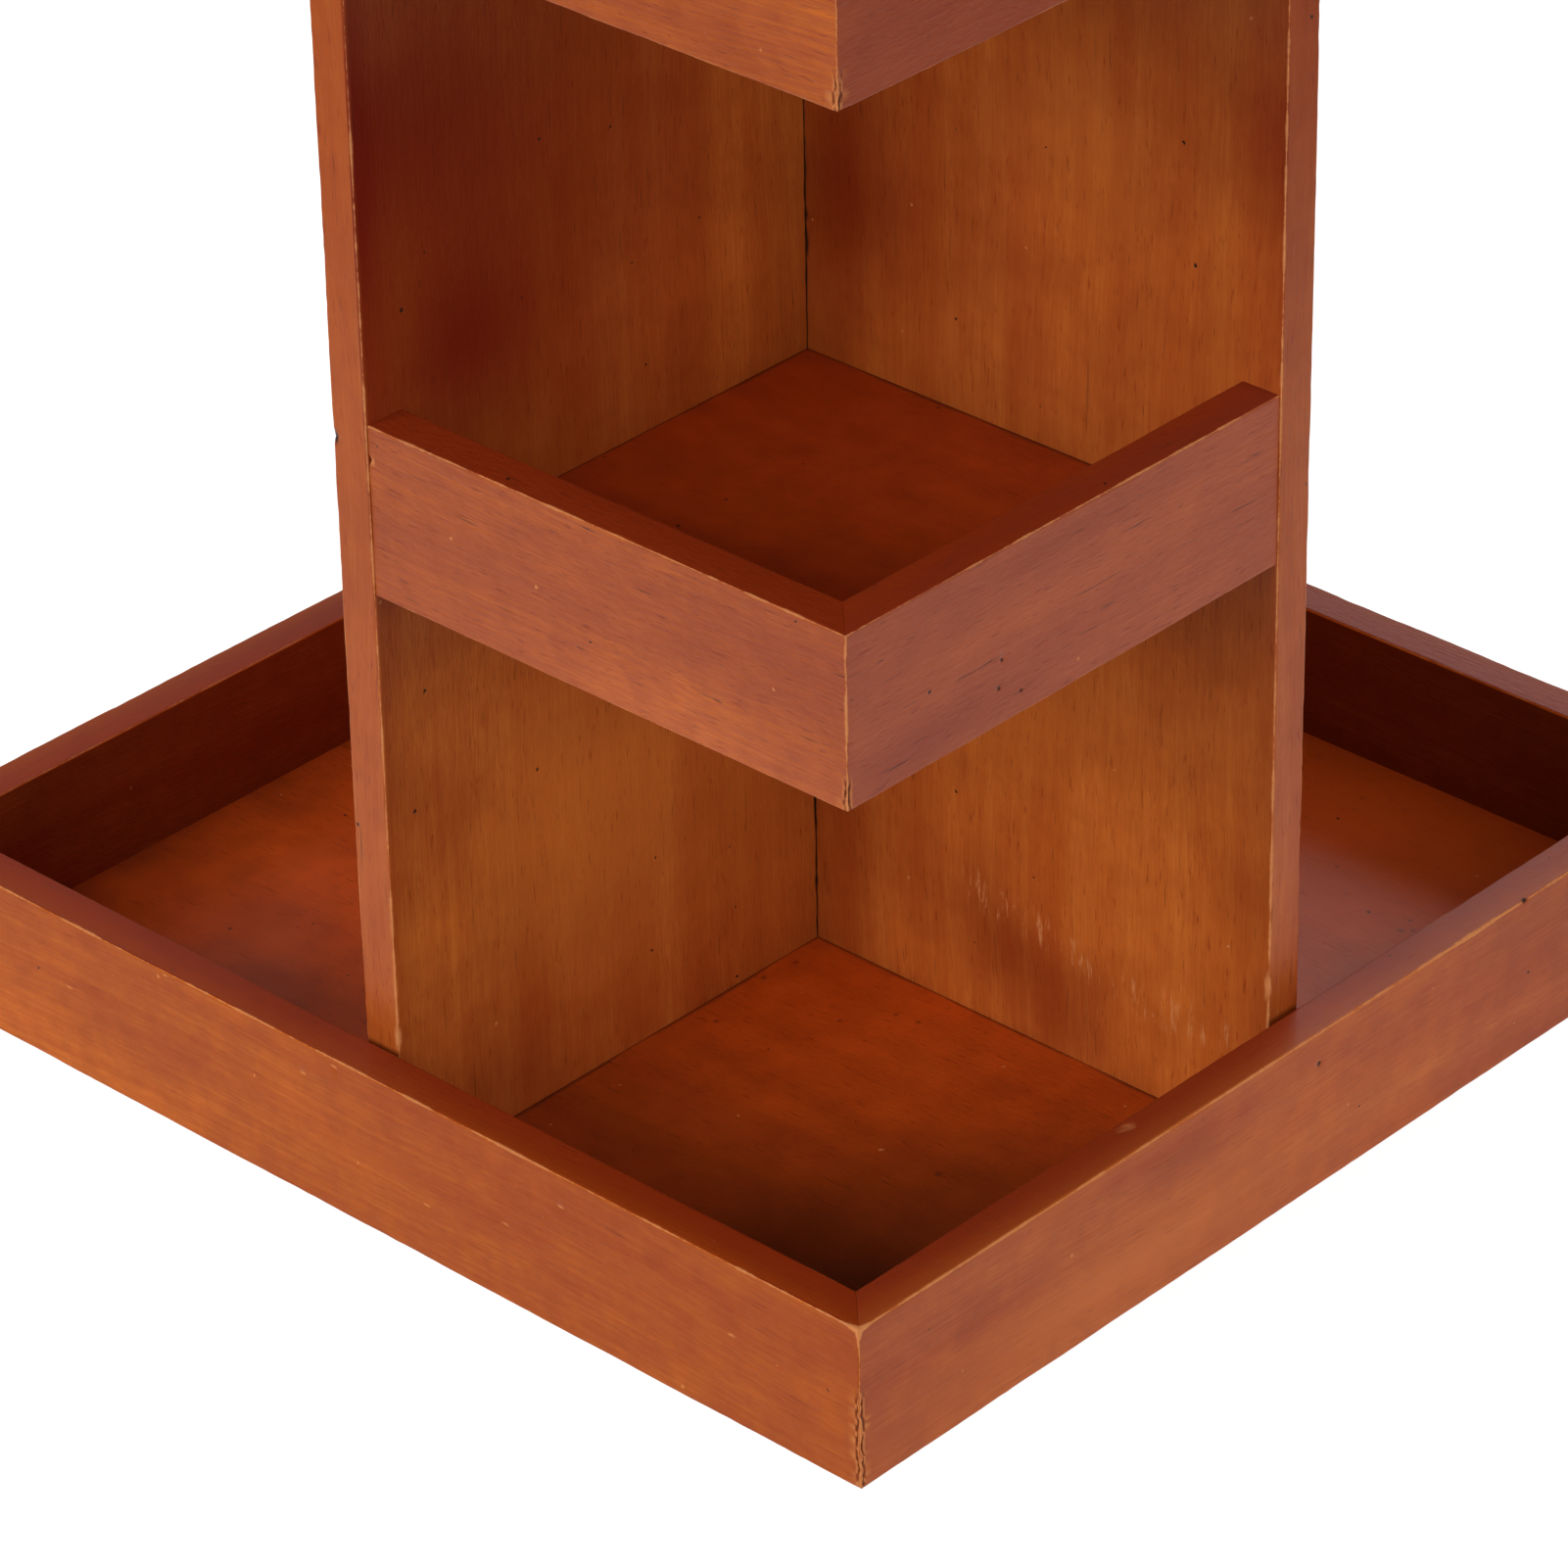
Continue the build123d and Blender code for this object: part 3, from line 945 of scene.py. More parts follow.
def lattice(xs: np.ndarray, ys: np.ndarray, zs: np.ndarray) -> tuple[np.ndarray, np.ndarray]:
    """A box's surface as a lattice.

    Args:
        xs: Places along X.
        ys: Places along Y.
        zs: Places along Z.

    Returns:
        The points, and the outward quads between them.
    """
    shape = (len(xs), len(ys), len(zs))
    skin = np.zeros(shape, bool)
    skin[[0, -1]] = skin[:, [0, -1]] = skin[:, :, [0, -1]] = True
    index = np.full(shape, -1)
    index[skin] = np.arange(skin.sum())
    i, j, k = np.nonzero(skin)
    sides = []
    for axis in range(3):
        for end in (0, -1):
            grid = np.take(index, end, axis)
            quads = np.stack([grid[:-1, :-1], grid[:-1, 1:], grid[1:, 1:], grid[1:, :-1]], -1)
            quads = quads.reshape(-1, 4)
            flip = (end == -1) != (axis == 1)
            sides.append(quads[:, ::-1] if flip else quads)
    return np.stack([xs[i], ys[j], zs[k]], 1), np.concatenate(sides)


def rounded(gaps: list[np.ndarray], radius: np.ndarray) -> list[np.ndarray]:
    """Rounds the edges and corners between faces that are square to each other.

    Args:
        gaps: Each point's distance from each of the faces.
        radius: The rounding at each point.

    Returns:
        The new distances.
    """
    past = [np.maximum(radius - gap, 0.0) for gap in gaps]
    length = np.sqrt(sum(each**2 for each in past))
    scale = np.where(length > radius, radius / np.maximum(length, 1e-9), 1.0)
    return [gap + each * (1.0 - scale) for gap, each in zip(gaps, past)]


def blended(distance: dict[str, np.ndarray], size: dict[str, np.ndarray]) -> np.ndarray:
    """Blends the edges' roundings, so that each point takes mostly after its nearest edge.

    Args:
        distance: Each point's distance from each edge, by the edge's name.
        size: Each edge's rounding at each point.

    Returns:
        The rounding at each point.
    """
    weight = {name: 1.0 / (gap + 0.15) ** 4 for name, gap in distance.items()}
    return sum(weight[name] * size[name] for name in size) / sum(weight.values())


@dataclass(frozen=True)
class Spot:
    """A round patch of tone on a board, in millimetres before the board is turned."""

    place: Point
    reach: float
    amount: float
    face: int | None = None  # the axis square to the only face that it lies on
    stretch: Point = (1.0, 1.0, 1.0)  # how much longer it is along each axis


@dataclass(frozen=True)
class Nick:
    """A chip or a pin hole, in millimetres before the board is turned."""

    place: Point
    reach: float
    push: Point  # how far its middle goes in
    dark: bool = False  # full of dirt, where a chip shows bare wood
    stretch: Point = (1.0, 1.0, 1.0)  # how much longer it is along each axis
    bare: float = 1.0  # how bare the wood in a chip is


@dataclass(frozen=True)
class History:
    """What a board went through."""

    nicks: tuple[Nick, ...] = ()
    scuffs: tuple[Spot, ...] = ()
    stain_and_shading: tuple[Spot, ...] = ()  # darker stain and painted shade; below 0, paler wood and painted light
    rubbed: tuple[Spot, ...] = ()  # where its edges are rubbed wider, in millimetres


@dataclass
class WornBoard:
    """A board with rubbed edges, built as a fine lattice in millimetres."""

    node: str
    slot: str
    seed: int
    turn: float = 0.0  # about +Z, in degrees
    mirrored: bool = False  # across the diagonal through the front corner
    history: History = History()
    marks: dict[str, np.ndarray] = field(default_factory=dict)

    def shape(self) -> tuple[np.ndarray, np.ndarray]:
        """Shapes the board and fills its marks.

        Returns:
            The board's points, not yet turned, and its quads.
        """
        raise NotImplementedError

    def along(self, axis: int, shift: float = 0.0) -> list[tuple[float, float]]:
        """Where along an axis the lattice has to be finer for the nicks, and how far."""
        return [(nick.place[axis] + shift, nick.reach * nick.stretch[axis]) for nick in self.history.nicks]

    def placed(self, points: np.ndarray) -> np.ndarray:
        """Mirrors and turns points to where the board is.

        Args:
            points: The points as the board was shaped.

        Returns:
            The points in their places.
        """
        if self.mirrored:
            points = np.stack([-points[:, 1], -points[:, 0], points[:, 2]], 1)
        angle = radians(self.turn)
        turn = np.array([[cos(angle), -sin(angle), 0.0], [sin(angle), cos(angle), 0.0], [0.0, 0.0, 1.0]])
        return points @ turn.T

    def nicked(self, points: np.ndarray) -> np.ndarray:
        """Pushes every nick in, and marks its bare or dirty wood.

        Args:
            points: The board's points.

        Returns:
            The moved points.
        """
        rng = np.random.default_rng(self.seed + 1000)
        for nick in self.history.nicks:
            away = np.linalg.norm((points - nick.place) / nick.stretch, axis=1) / nick.reach
            bite = np.clip(1.25 - away - 0.4 * rng.random(len(points)) * (away > 0.4), 0.0, 1.0)
            points = points + bite[:, None] ** 0.6 * np.array(nick.push)
            mark = "crack" if nick.dark else "chip"
            bare = np.clip(bite * 2.5, 0.0, 1.0) * nick.bare
            self.marks[mark] = np.maximum(self.marks.get(mark, 0.0), bare)
        return points

    def build(self, material: bpy.types.Material) -> bpy.types.Object:
        """Makes the board's object and puts it in its CAD node's place.

        Args:
            material: The finish of the whole board.

        Returns:
            The finished piece.
        """
        points, quads = self.shape()
        self.marks["scuff"] = self.tone(points, self.history.scuffs)
        self.marks["stain_and_shading"] = self.marks["stain_and_shading"] + self.tone(points, self.history.stain_and_shading)
        distance = self.marks["edge_distance"] - self.tone(points, self.history.rubbed)
        self.marks["edge_distance"] = np.maximum(distance, 0.0)
        self.marks["marked"] = np.ones(len(points))
        points = self.placed(self.nicked(points))
        mesh = bpy.data.meshes.new(f"worn_{self.node}")
        if self.mirrored:
            quads = quads[:, ::-1]
        mesh.from_pydata((points * MM).tolist(), [], quads.tolist())
        for name in BOARD_MARKS:
            values = self.marks.get(name, np.zeros(len(points))).astype(np.float32)
            mesh.attributes.new(name, "FLOAT", "POINT").data.foreach_set("value", values)
        mesh.polygons.foreach_set("use_smooth", [True] * len(mesh.polygons))
        mesh.set_sharp_from_angle(angle=BOARD_CREASE)
        mesh.materials.append(material)
        piece = bpy.data.objects.new(f"worn_{self.node}", mesh)
        bpy.context.scene.collection.objects.link(piece)
        settle(piece, "turntable", self.slot, self.node)
        return piece

    @staticmethod
    def tone(points: np.ndarray, spots: tuple[Spot, ...]) -> np.ndarray:
        """How strong some spots are at each point, fading outwards.

        Args:
            points: The board's points.
            spots: The spots.

        Returns:
            The spots' amounts added up at each point.
        """
        total = np.zeros(len(points))
        for spot in spots:
            away = np.linalg.norm((points - spot.place) / spot.stretch, axis=1) / spot.reach
            strength = spot.amount * np.exp(-2.0 * away**2)
            if spot.face is not None:
                strength = strength * (np.abs(points[:, spot.face] - spot.place[spot.face]) < 0.7)
            total = total + strength
        return total


@dataclass
class RimBoard(WornBoard):
    """A tray wall, mitred at both ends, or a shelf rail, mitred at its far end only."""

    half: float = 150.0  # from the spin axis to the outer face
    thickness: float = 10.0
    bottom: float = 21.0
    height: float = 40.0
    start: float | None = None  # where a rail meets its divider
    crack: tuple[float, float] = (0.0, 0.0)  # low end and high end of a split beside the far corner
    near_crack: tuple[float, float] = (0.0, 0.0)  # the same beside the near corner
    split_depth: float = 0.6  # how far a split goes into the board
    mitre_gap: float = 0.05  # between the hidden parts of two mitred ends
    inner_darkening: float = 0.0  # how much darker and redder the inner face is made, a painted shade on the tray's back walls
    inner_shade: float = 0.0  # how much painted shade in the dark pit colour lies on the inner face
    rim_wear: float = 0.0  # how much lighter the top is towards its outer edge

    def shape(self) -> tuple[np.ndarray, np.ndarray]:
        """Shapes the board along X with its outer face towards -Y.

        Returns:
            The board's points, not yet turned, and its quads.
        """
        rng = np.random.default_rng(self.seed)
        half, top = self.half, self.bottom + self.height
        near = -half if self.start is None else self.start
        points, quads = lattice(
            ruler(near, half, 2.0, (self.start is None, True), self.along(0)),
            ruler(0.0, self.thickness, 3.0, (True, True), self.along(1, half)),
            ruler(self.bottom, top, 4.0, (True, True), self.along(2) + self.split_rows()),
        )
        x, depth, z = points.T
        share = (x - near) / (half - near)
        x = (near + depth * (self.start is None)) * (1 - share) + (half - depth) * share
        faces = {"outer": depth, "far": half - x, "top": top - z, "bottom": z - self.bottom}
        if self.start is None:
            faces["near"] = x + half
        ends = np.minimum(faces["far"], faces.get("near", faces["far"]))
        level = np.minimum(faces["top"], faces["bottom"])
        curves = {name: Ragged(rng, -half, half) for name in ("top", "bottom", "inner")}
        corner = Ragged(rng, self.bottom, top)
        distance = {"top": depth + faces["top"], "bottom": depth + faces["bottom"], "corner": depth + ends}
        size = {
            "top": 0.3 + 0.8 * curves["top"](x) ** 2,
            "bottom": 0.3 + 0.5 * curves["bottom"](x) ** 2,
            "corner": 0.3 + 0.7 * corner(z) ** 2,
        }
        radius = blended(distance, size)
        new_depth, new_ends, new_level = rounded([depth, ends, level], radius)
        x = x + np.where(x > 0, 1, -1) * (ends - new_ends)
        z = np.where(z > self.bottom + self.height / 2, z - (new_level - level), z + (new_level - level))
        inner = self.thickness - depth
        above = top - z
        soft = 0.25 + 0.5 * curves["inner"](x)
        new_inner, new_above = rounded([inner, np.maximum(above, 0.0)], soft)
        depth = np.where(inner < 3.0, self.thickness - new_inner, new_depth)
        z = np.where(inner < 3.0, top - new_above, z)
        rubs = (distance["top"], distance["bottom"] + 0.12, distance["corner"] - 0.1, inner + above + 0.3)
        worn = np.minimum.reduce(rubs)
        self.marks["edge_distance"] = np.clip(worn, 0.0, FAR_FROM_EDGES)
        split = self.split(faces["far"], z, self.crack, rng)
        if self.start is None:
            split = np.maximum(split, self.split(faces["near"], z, self.near_crack, rng))
        split, torn = split * np.clip(2.0 - depth / self.split_depth, 0.0, 1.0)
        # The inner face below the top takes painted shade: a darker, redder colour, and the pit colour
        # through the crack mark.
        behind = (inner < 0.5) * (above > 0.5)
        self.marks["crack"] = np.maximum(0.75 * split, self.inner_shade * behind)
        self.marks["chip"] = np.clip(torn - split, 0.0, 1.0)
        self.marks["stain_and_shading"] = self.inner_darkening * behind - self.rim_wear * np.exp(-depth / 3.5) * (above < 0.5)
        ends = self.half - np.abs(x) - depth
        near_end = np.clip(1.0 - ends / 2.5, 0.0, 1.0) * np.clip(depth / 3.0, 0.0, 1.0)
        x = x - np.sign(x) * self.mitre_gap * near_end
        return np.stack([x, depth + 0.4 * split - half, z], 1), quads

    def split_rows(self) -> list[tuple[float, float]]:
        """Where up the board the lattice has to be finer for its splits."""
        spans = [span for span in (self.crack, self.near_crack) if span[1] > span[0]]
        return [(z, 1.0) for low, high in spans for z in np.arange(low, high, 2.2)]

    def split(
        self, gap: np.ndarray, z: np.ndarray, span: tuple[float, float], rng: np.random.Generator
    ) -> np.ndarray:
        """A ragged split that runs up beside a corner.

        Args:
            gap: Each point's distance from the corner along the board.
            z: Heights.
            span: Low end and high end of the split.
            rng: Where the random values come from.

        Returns:
            How much each point lies in the split, and in the torn wood round it, from 0 to 1.
        """
        low, high = span
        bottom, top = self.bottom, self.bottom + self.height
        middle = 0.45 + 0.75 * Wander(rng, bottom, top, 1.7)(z)
        width = 0.1 + 0.3 * Wander(rng, bottom, top, 1.1)(z) ** 2
        inside = np.clip((z - low) / 1.5 + 0.5, 0.0, 1.0) * np.clip((high - z) / 4.0, 0.0, 1.0)
        off = np.abs(gap - middle)
        return np.stack([np.clip(1.5 - off / reach, 0.0, 1.0) * inside for reach in (width, width + 0.4)])


@dataclass(frozen=True)
class Plank:
    """One of the planks that a divider is glued up from."""

    far: float  # from the spin axis to its far side, in millimetres
    tone: float  # how much more stain it took
    border: float = 0.22  # how much more stain lies along its far side


@dataclass
class Divider(WornBoard):
    """An upright board whose inner end is pointed."""

    thickness: float = 10.0
    end: float = 138.0  # from the spin axis to the outer end
    bottom: float = 27.0
    height: float = 450.0
    tip: float = 0.02  # from the spin axis to the pointed end
    seam: float | None = None  # height of a glued joint across the outer end
    end_tone: float = 0.34  # how much more stain the outer end took
    planks: tuple[Plank, ...] = ()

    def shape(self) -> tuple[np.ndarray, np.ndarray]:
        """Shapes the board standing with its outer end towards -Y.

        Returns:
            The board's points, not yet turned, and its quads.
        """
        rng = np.random.default_rng(self.seed)
        face, top = self.thickness / 2, self.bottom + self.height
        joints = [(-plank.far, 0.5) for plank in self.planks]
        points, quads = lattice(
            np.unique(np.append(ruler(-face, face, 2.6, (True, True), self.along(0)), 0.0)),
            ruler(-self.end, 0.0, 6.0, (True, True), self.along(1) + joints),
            ruler(self.bottom, top, 2.2, (False, True), self.along(2)),
        )
        x, y, z = points.T
        share = (y + self.end) / self.end
        y = -self.end + share * (self.end - self.tip - np.abs(x))
        side, outer, above = face - np.abs(x), y + self.end, top - z
        curves = [Ragged(rng, self.bottom, top) for _ in range(2)]
        ends = Ragged(rng, -self.end, self.end)
        distance = {"upright": side + outer, "long": side + above, "short": outer + above}
        size = {
            "upright": 0.3 + 0.75 * np.where(x > 0, curves[0](z), curves[1](z)) ** 2,
            "long": 0.35 + 0.5 * ends(y) ** 2,
            "short": 0.4 + 0.4 * ends(x * 9.0) ** 2,
        }
        radius = blended(distance, size)
        radius = np.where(y > -2 * self.thickness, 1e-3, radius)  # the pointed end stays sharp
        side, outer, above = rounded([side, outer, above], radius)
        if self.seam is not None:
            dent = 0.25 * np.exp(-(((z - self.seam) / 0.9) ** 2))
            outer = outer + dent * np.clip(1.0 - outer / 2.0, 0.0, 1.0)
        x = np.sign(x) * (face - side)
        dirt = Ragged(rng, self.bottom, top)(z)
        gap = (1.0 - share) * self.end
        self.marks["crack"] = np.clip(1.5 - gap / (0.12 + 1.6 * dirt**4), 0.0, 1.0)
        self.marks["edge_distance"] = np.clip(np.minimum.reduce(list(distance.values())), 0.0, FAR_FROM_EDGES)
        stain_and_shading = self.end_tone * (outer < 0.9) + 0.3 * np.exp(-outer / 14.0) * (outer > 0.9)
        out, inside = self.end - outer, 0.0
        for plank in self.planks:
            within = (out >= inside) & (out < plank.far) & (outer > 0.9)
            stain_and_shading = stain_and_shading + within * (plank.tone + plank.border * np.exp((out - plank.far) / 6.0))
            inside = plank.far
        self.marks["stain_and_shading"] = stain_and_shading
        return np.stack([x, outer - self.end, top - above], 1), quads


# ---------------------------------------------------------------- repeated pieces


@dataclass(frozen=True)
class Profile:
    """The side of a spun shape, with an optional screw thread."""

    points: tuple[Point, ...]  # share of the radius, share of the length, depth of the thread's groove
    first: int = 0  # the point from which the threaded stretch runs to the next
    turns: int = 1  # rows of the mesh in that stretch
    pitch: float = 1.0  # of the thread, in millimetres


class Recipe:
    """A geometry tree with named inputs, run once into a plain mesh."""

    SOCKETS = {float: "NodeSocketFloat", int: "NodeSocketInt", bpy.types.Material: "NodeSocketMaterial"}

    def __init__(self, name: str, values: dict[str, object]) -> None:
        """Starts the tree with one input for each value.

        Args:
            name: Name of the tree and of the piece.
            values: Each input's name and the value that it is run with.
        """
        self.name, self.values = name, values
        self.group = bpy.data.node_groups.new(name, "GeometryNodeTree")
        for label, value in values.items():
            self.group.interface.new_socket(label, in_out="INPUT", socket_type=self.SOCKETS[type(value)])
        self.group.interface.new_socket("Geometry", in_out="OUTPUT", socket_type="NodeSocketGeometry")
        self.tree = Tree(self.group)
        self.given = self.tree.add("NodeGroupInput").outputs
        self.result = self.tree.add("NodeGroupOutput").inputs["Geometry"]

    def node(
        self, kind: str, feeds: dict[str, object] | None = None, **settings: object
    ) -> bpy.types.NodeSocket:
        """Adds a geometry node and returns its first output."""
        return self.tree.add(f"GeometryNode{kind}", feeds, **settings).outputs[0]

    def joined(self, *parts: bpy.types.NodeSocket) -> bpy.types.NodeSocket:
        """Joins several geometries into one.

        Args:
            parts: The geometries.

        Returns:
            The joined geometry.
        """
        node = self.tree.add("GeometryNodeJoinGeometry")
        for part in parts:
            self.tree.feed(node.inputs[0], part)
        return node.outputs[0]

    def moved(self, geometry: object, place: object, turn: Point = UNTURNED) -> bpy.types.NodeSocket:
        """Turns a geometry and then moves it."""
        return self.node("Transform", {"Geometry": geometry, "Translation": place, "Rotation": turn})

    def lifted(self, geometry: object, turn: Point = UNTURNED) -> bpy.types.NodeSocket:
        """Turns a geometry and then lifts it by the tree's input Level."""
        return self.moved(geometry, self.tree.combine(0.0, 0.0, self.given["Level"]), turn)

    def round(self, instance: object, count: object, radius: object) -> bpy.types.NodeSocket:
        """Puts an instance on each of several points evenly round Z, the first on +X."""
        ring = self.node("MeshCircle", {"Vertices": count, "Radius": radius})
        return self.node("InstanceOnPoints", {"Points": ring, "Instance": instance})

    def listed(self, index: object, values: list[float]) -> bpy.types.NodeSocket:
        """The value that a list has at an index.

        Args:
            index: The index, from 0.
            values: The list.

        Returns:
            The value there.
        """
        node = self.tree.add("GeometryNodeIndexSwitch", data_type="FLOAT")
        for _ in values[2:]:
            node.index_switch_items.new()
        self.tree.feed(node.inputs["Index"], index)
        for socket, value in zip(list(node.inputs)[1:], values):
            self.tree.feed(socket, value)
        return node.outputs[0]

    def between(self, place: object, values: list[float]) -> bpy.types.NodeSocket:
        """The value of a list at a place between two indices.

        Args:
            place: The place, from 0 to the last index.
            values: The list.

        Returns:
            The value, in a straight line from one item to the next.
        """
        t = self.tree
        low = t.maths("FLOOR", place)
        first = self.listed(low, values)
        second = self.listed(t.smaller(t.plus(low, 1.0), float(len(values) - 1)), values)
        rise = t.times(t.minus(second, first), t.minus(place, low))
        return t.plus(first, rise)

    def spun(self, profile: Profile, radius: object, length: object, around: int) -> bpy.types.NodeSocket:
        """A closed shape spun about Z.

        Args:
            profile: What the shape's side runs through, from its low end to its high end.
            radius: The widest radius.
            length: The whole height.
            around: How many steps go round.

        Returns:
            The closed mesh, standing on the origin.
        """
        t = self.tree
        rows = len(profile.points) + profile.turns - 2
        sizes = {"Size X": 1.0, "Size Y": 1.0, "Vertices X": around + 1, "Vertices Y": rows + 1}
        grid = self.node("MeshGrid", sizes)
        place = t.add("ShaderNodeSeparateXYZ", {"Vector": self.node("InputPosition")}).outputs
        angle = t.times(place["X"], 2 * pi)
        row = t.maths("ROUND", t.times(t.plus(place["Y"], 0.5), float(rows)))
        past = t.minus(row, float(profile.first))
        inside = t.larger(t.smaller(t.over(past, float(profile.turns)), 1.0), 0.0)
        after = t.larger(t.minus(past, float(profile.turns)), 0.0)
        at = t.plus(t.plus(t.smaller(row, float(profile.first)), inside), after)
        out = t.times(self.between(at, [r for r, _, _ in profile.points]), radius)
        up = t.times(self.between(at, [z for _, z, _ in profile.points]), length)
        turn = t.minus(t.over(up, profile.pitch * MM), t.over(angle, 2 * pi))
        groove = t.unsigned(t.minus(t.times(t.maths("FRACT", turn), 2.0), 1.0))
        share = t.times(self.between(at, [cut for _, _, cut in profile.points]), groove)
        out = t.times(out, t.minus(1.0, share))
        across, deep = (t.times(out, t.maths(wave, angle)) for wave in ("COSINE", "SINE"))
        spot = t.combine(across, deep, up)
        bent = self.node("SetPosition", {"Geometry": grid, "Position": spot})
        return self.node("MergeByDistance", {"Geometry": bent, "Distance": 1e-6})

    def crossed(self, head: object, reach: float, width: float, deep: float) -> bpy.types.NodeSocket:
        """Cuts a cross recess into the top of a head at the origin.

        Args:
            head: The mesh of the screw.
            reach: Length of each bar of the cross, in millimetres.
            width: Width of each bar.
            deep: Depth of the recess.

        Returns:
            The cut mesh.
        """
        bar = self.node("MeshCube", {"Size": tuple(side * MM for side in (reach, width, 2 * deep))})
        both = self.tree.add("GeometryNodeMeshBoolean", operation="UNION", solver="EXACT")
        self.tree.feed(both.inputs["Mesh 2"], bar)
        self.tree.feed(both.inputs["Mesh 2"], self.moved(bar, AT_ORIGIN, (0.0, 0.0, pi / 2)))
        meshes = {"Mesh 1": head, "Mesh 2": both.outputs[0]}
        return self.node("MeshBoolean", meshes, operation="DIFFERENCE", solver="EXACT")

    def run(self, geometry: bpy.types.NodeSocket) -> bpy.types.Object:
        """Ends the tree, runs it and keeps the result as a plain mesh.

        Args:
            geometry: What the tree makes.

        Returns:
            The object, with its modifier removed.
        """
        real = self.node("RealizeInstances", {"Geometry": geometry})
        done = self.node("SetMaterial", {"Geometry": real, "Material": self.given["Finish"]})
        self.tree.feed(self.result, done)
        piece = bpy.data.objects.new(self.name, bpy.data.meshes.new(self.name))
        bpy.context.scene.collection.objects.link(piece)
        modifier = piece.modifiers.new(self.name, "NODES")
        modifier.node_group = self.group
        for item in self.group.interface.items_tree:
            if item.in_out == "INPUT":
                modifier[item.identifier] = self.values[item.name]
        graph = bpy.context.evaluated_depsgraph_get()
        mesh = bpy.data.meshes.new_from_object(piece.evaluated_get(graph))
        piece.modifiers.clear()
        piece.data = mesh
        mesh.name = self.name
        mesh.polygons.foreach_set("material_index", [0] * len(mesh.polygons))
        while len(mesh.materials) > 1:
            mesh.materials.pop(index=0)
        mesh.polygons.foreach_set("use_smooth", [True] * len(mesh.polygons))
        mesh.set_sharp_from_angle(angle=HARDWARE_CREASE)
        return piece


def settle(piece: bpy.types.Object, body: str, slot: str, *nodes: str) -> None:
    """Puts a finished piece on its body, in the place of its CAD nodes.

    Args:
        piece: The finished piece.
        body: The body that it moves with.
        slot: Not used.
        nodes: The CAD nodes that it stands for.
    """
    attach(piece, body)
    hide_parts(*nodes)
    log.info("%s: %d faces", piece.name, len(piece.data.polygons))


@dataclass
class Screw:
    """A wood screw with its thread and its cross recess, in millimetres."""

    radius: float
    length: float
    head_radius: float
    head_height: float
    countersunk: bool = False
    pitch: float = 1.2
    groove: float = 0.24  # depth of the thread, as a share of the radius
    recess_width: float = 0.7  # of each bar of the cross
    recess_depth: float = 0.9

    def profile(self) -> Profile:
        """The screw's side from its tip up to the middle of its head.

        Returns:
            The side, with the thread on its shank.
        """
        whole, wide = self.length + self.head_height, self.head_radius
        neck = self.length - 0.1 * self.countersunk
        points = [
            (0.0, 0.0, 0.0),
            (0.35 * self.radius, 0.5 * self.radius, 0.1),
            (self.radius, 2.2 * self.radius, self.groove),
            (self.radius, self.length - 1.2, self.groove),
            (self.radius, self.length - 0.7, 0.0),
            (self.radius, neck, 0.0),
        ]
        if self.countersunk:
            points += [(wide - 0.15, whole - 0.25, 0.0), (wide, whole - 0.12, 0.0), (wide, whole, 0.0)]
            points += [(0.75 * wide, whole, 0.0)]
        else:
            low, rise = self.length + 0.1, self.head_height - 0.1
            points += [(wide - 0.05, self.length, 0.0), (wide, low, 0.0)]
            for share in (0.3, 0.6, 0.8, 0.92):
                points += [(wide * (1.0 - 0.06 * share - 0.3 * share**4), low + rise * share, 0.0)]
            points += [(0.55 * wide, whole - 0.02, 0.0), (0.3 * wide, whole, 0.0)]
        points += [(0.0, whole, 0.0)]
        shares = tuple((r / wide, z / whole, cut) for r, z, cut in points)
        return Profile(shares, 2, int(round(self.length / self.pitch * 5)), self.pitch)

    def make(self, recipe: Recipe) -> bpy.types.NodeSocket:
        """The screw pointing down, with the top of its head at the origin.

        Args:
            recipe: The tree to build it in, which has inputs Head and Length.

        Returns:
            The closed mesh.
        """
        given = recipe.given
        screw = recipe.spun(self.profile(), given["Head"], given["Length"], 24)
        down = recipe.tree.combine(0.0, 0.0, recipe.tree.times(given["Length"], -1.0))
        reach = 0.62 * 2 * self.head_radius
        return recipe.crossed(recipe.moved(screw, down), reach, self.recess_width, self.recess_depth)

    def recipe(self, name: str, finish: bpy.types.Material, **values: object) -> Recipe:
        """Starts a tree that has this screw's sizes among its inputs.

        Args:
            name: Name of the tree and of the piece.
            finish: The screws' material.
            values: The tree's other inputs.

        Returns:
            The tree, without its screws yet.
        """
        sizes = {"Head": self.head_radius * MM, "Length": (self.length + self.head_height) * MM}
        return Recipe(name, {**sizes, **values, "Finish": finish})


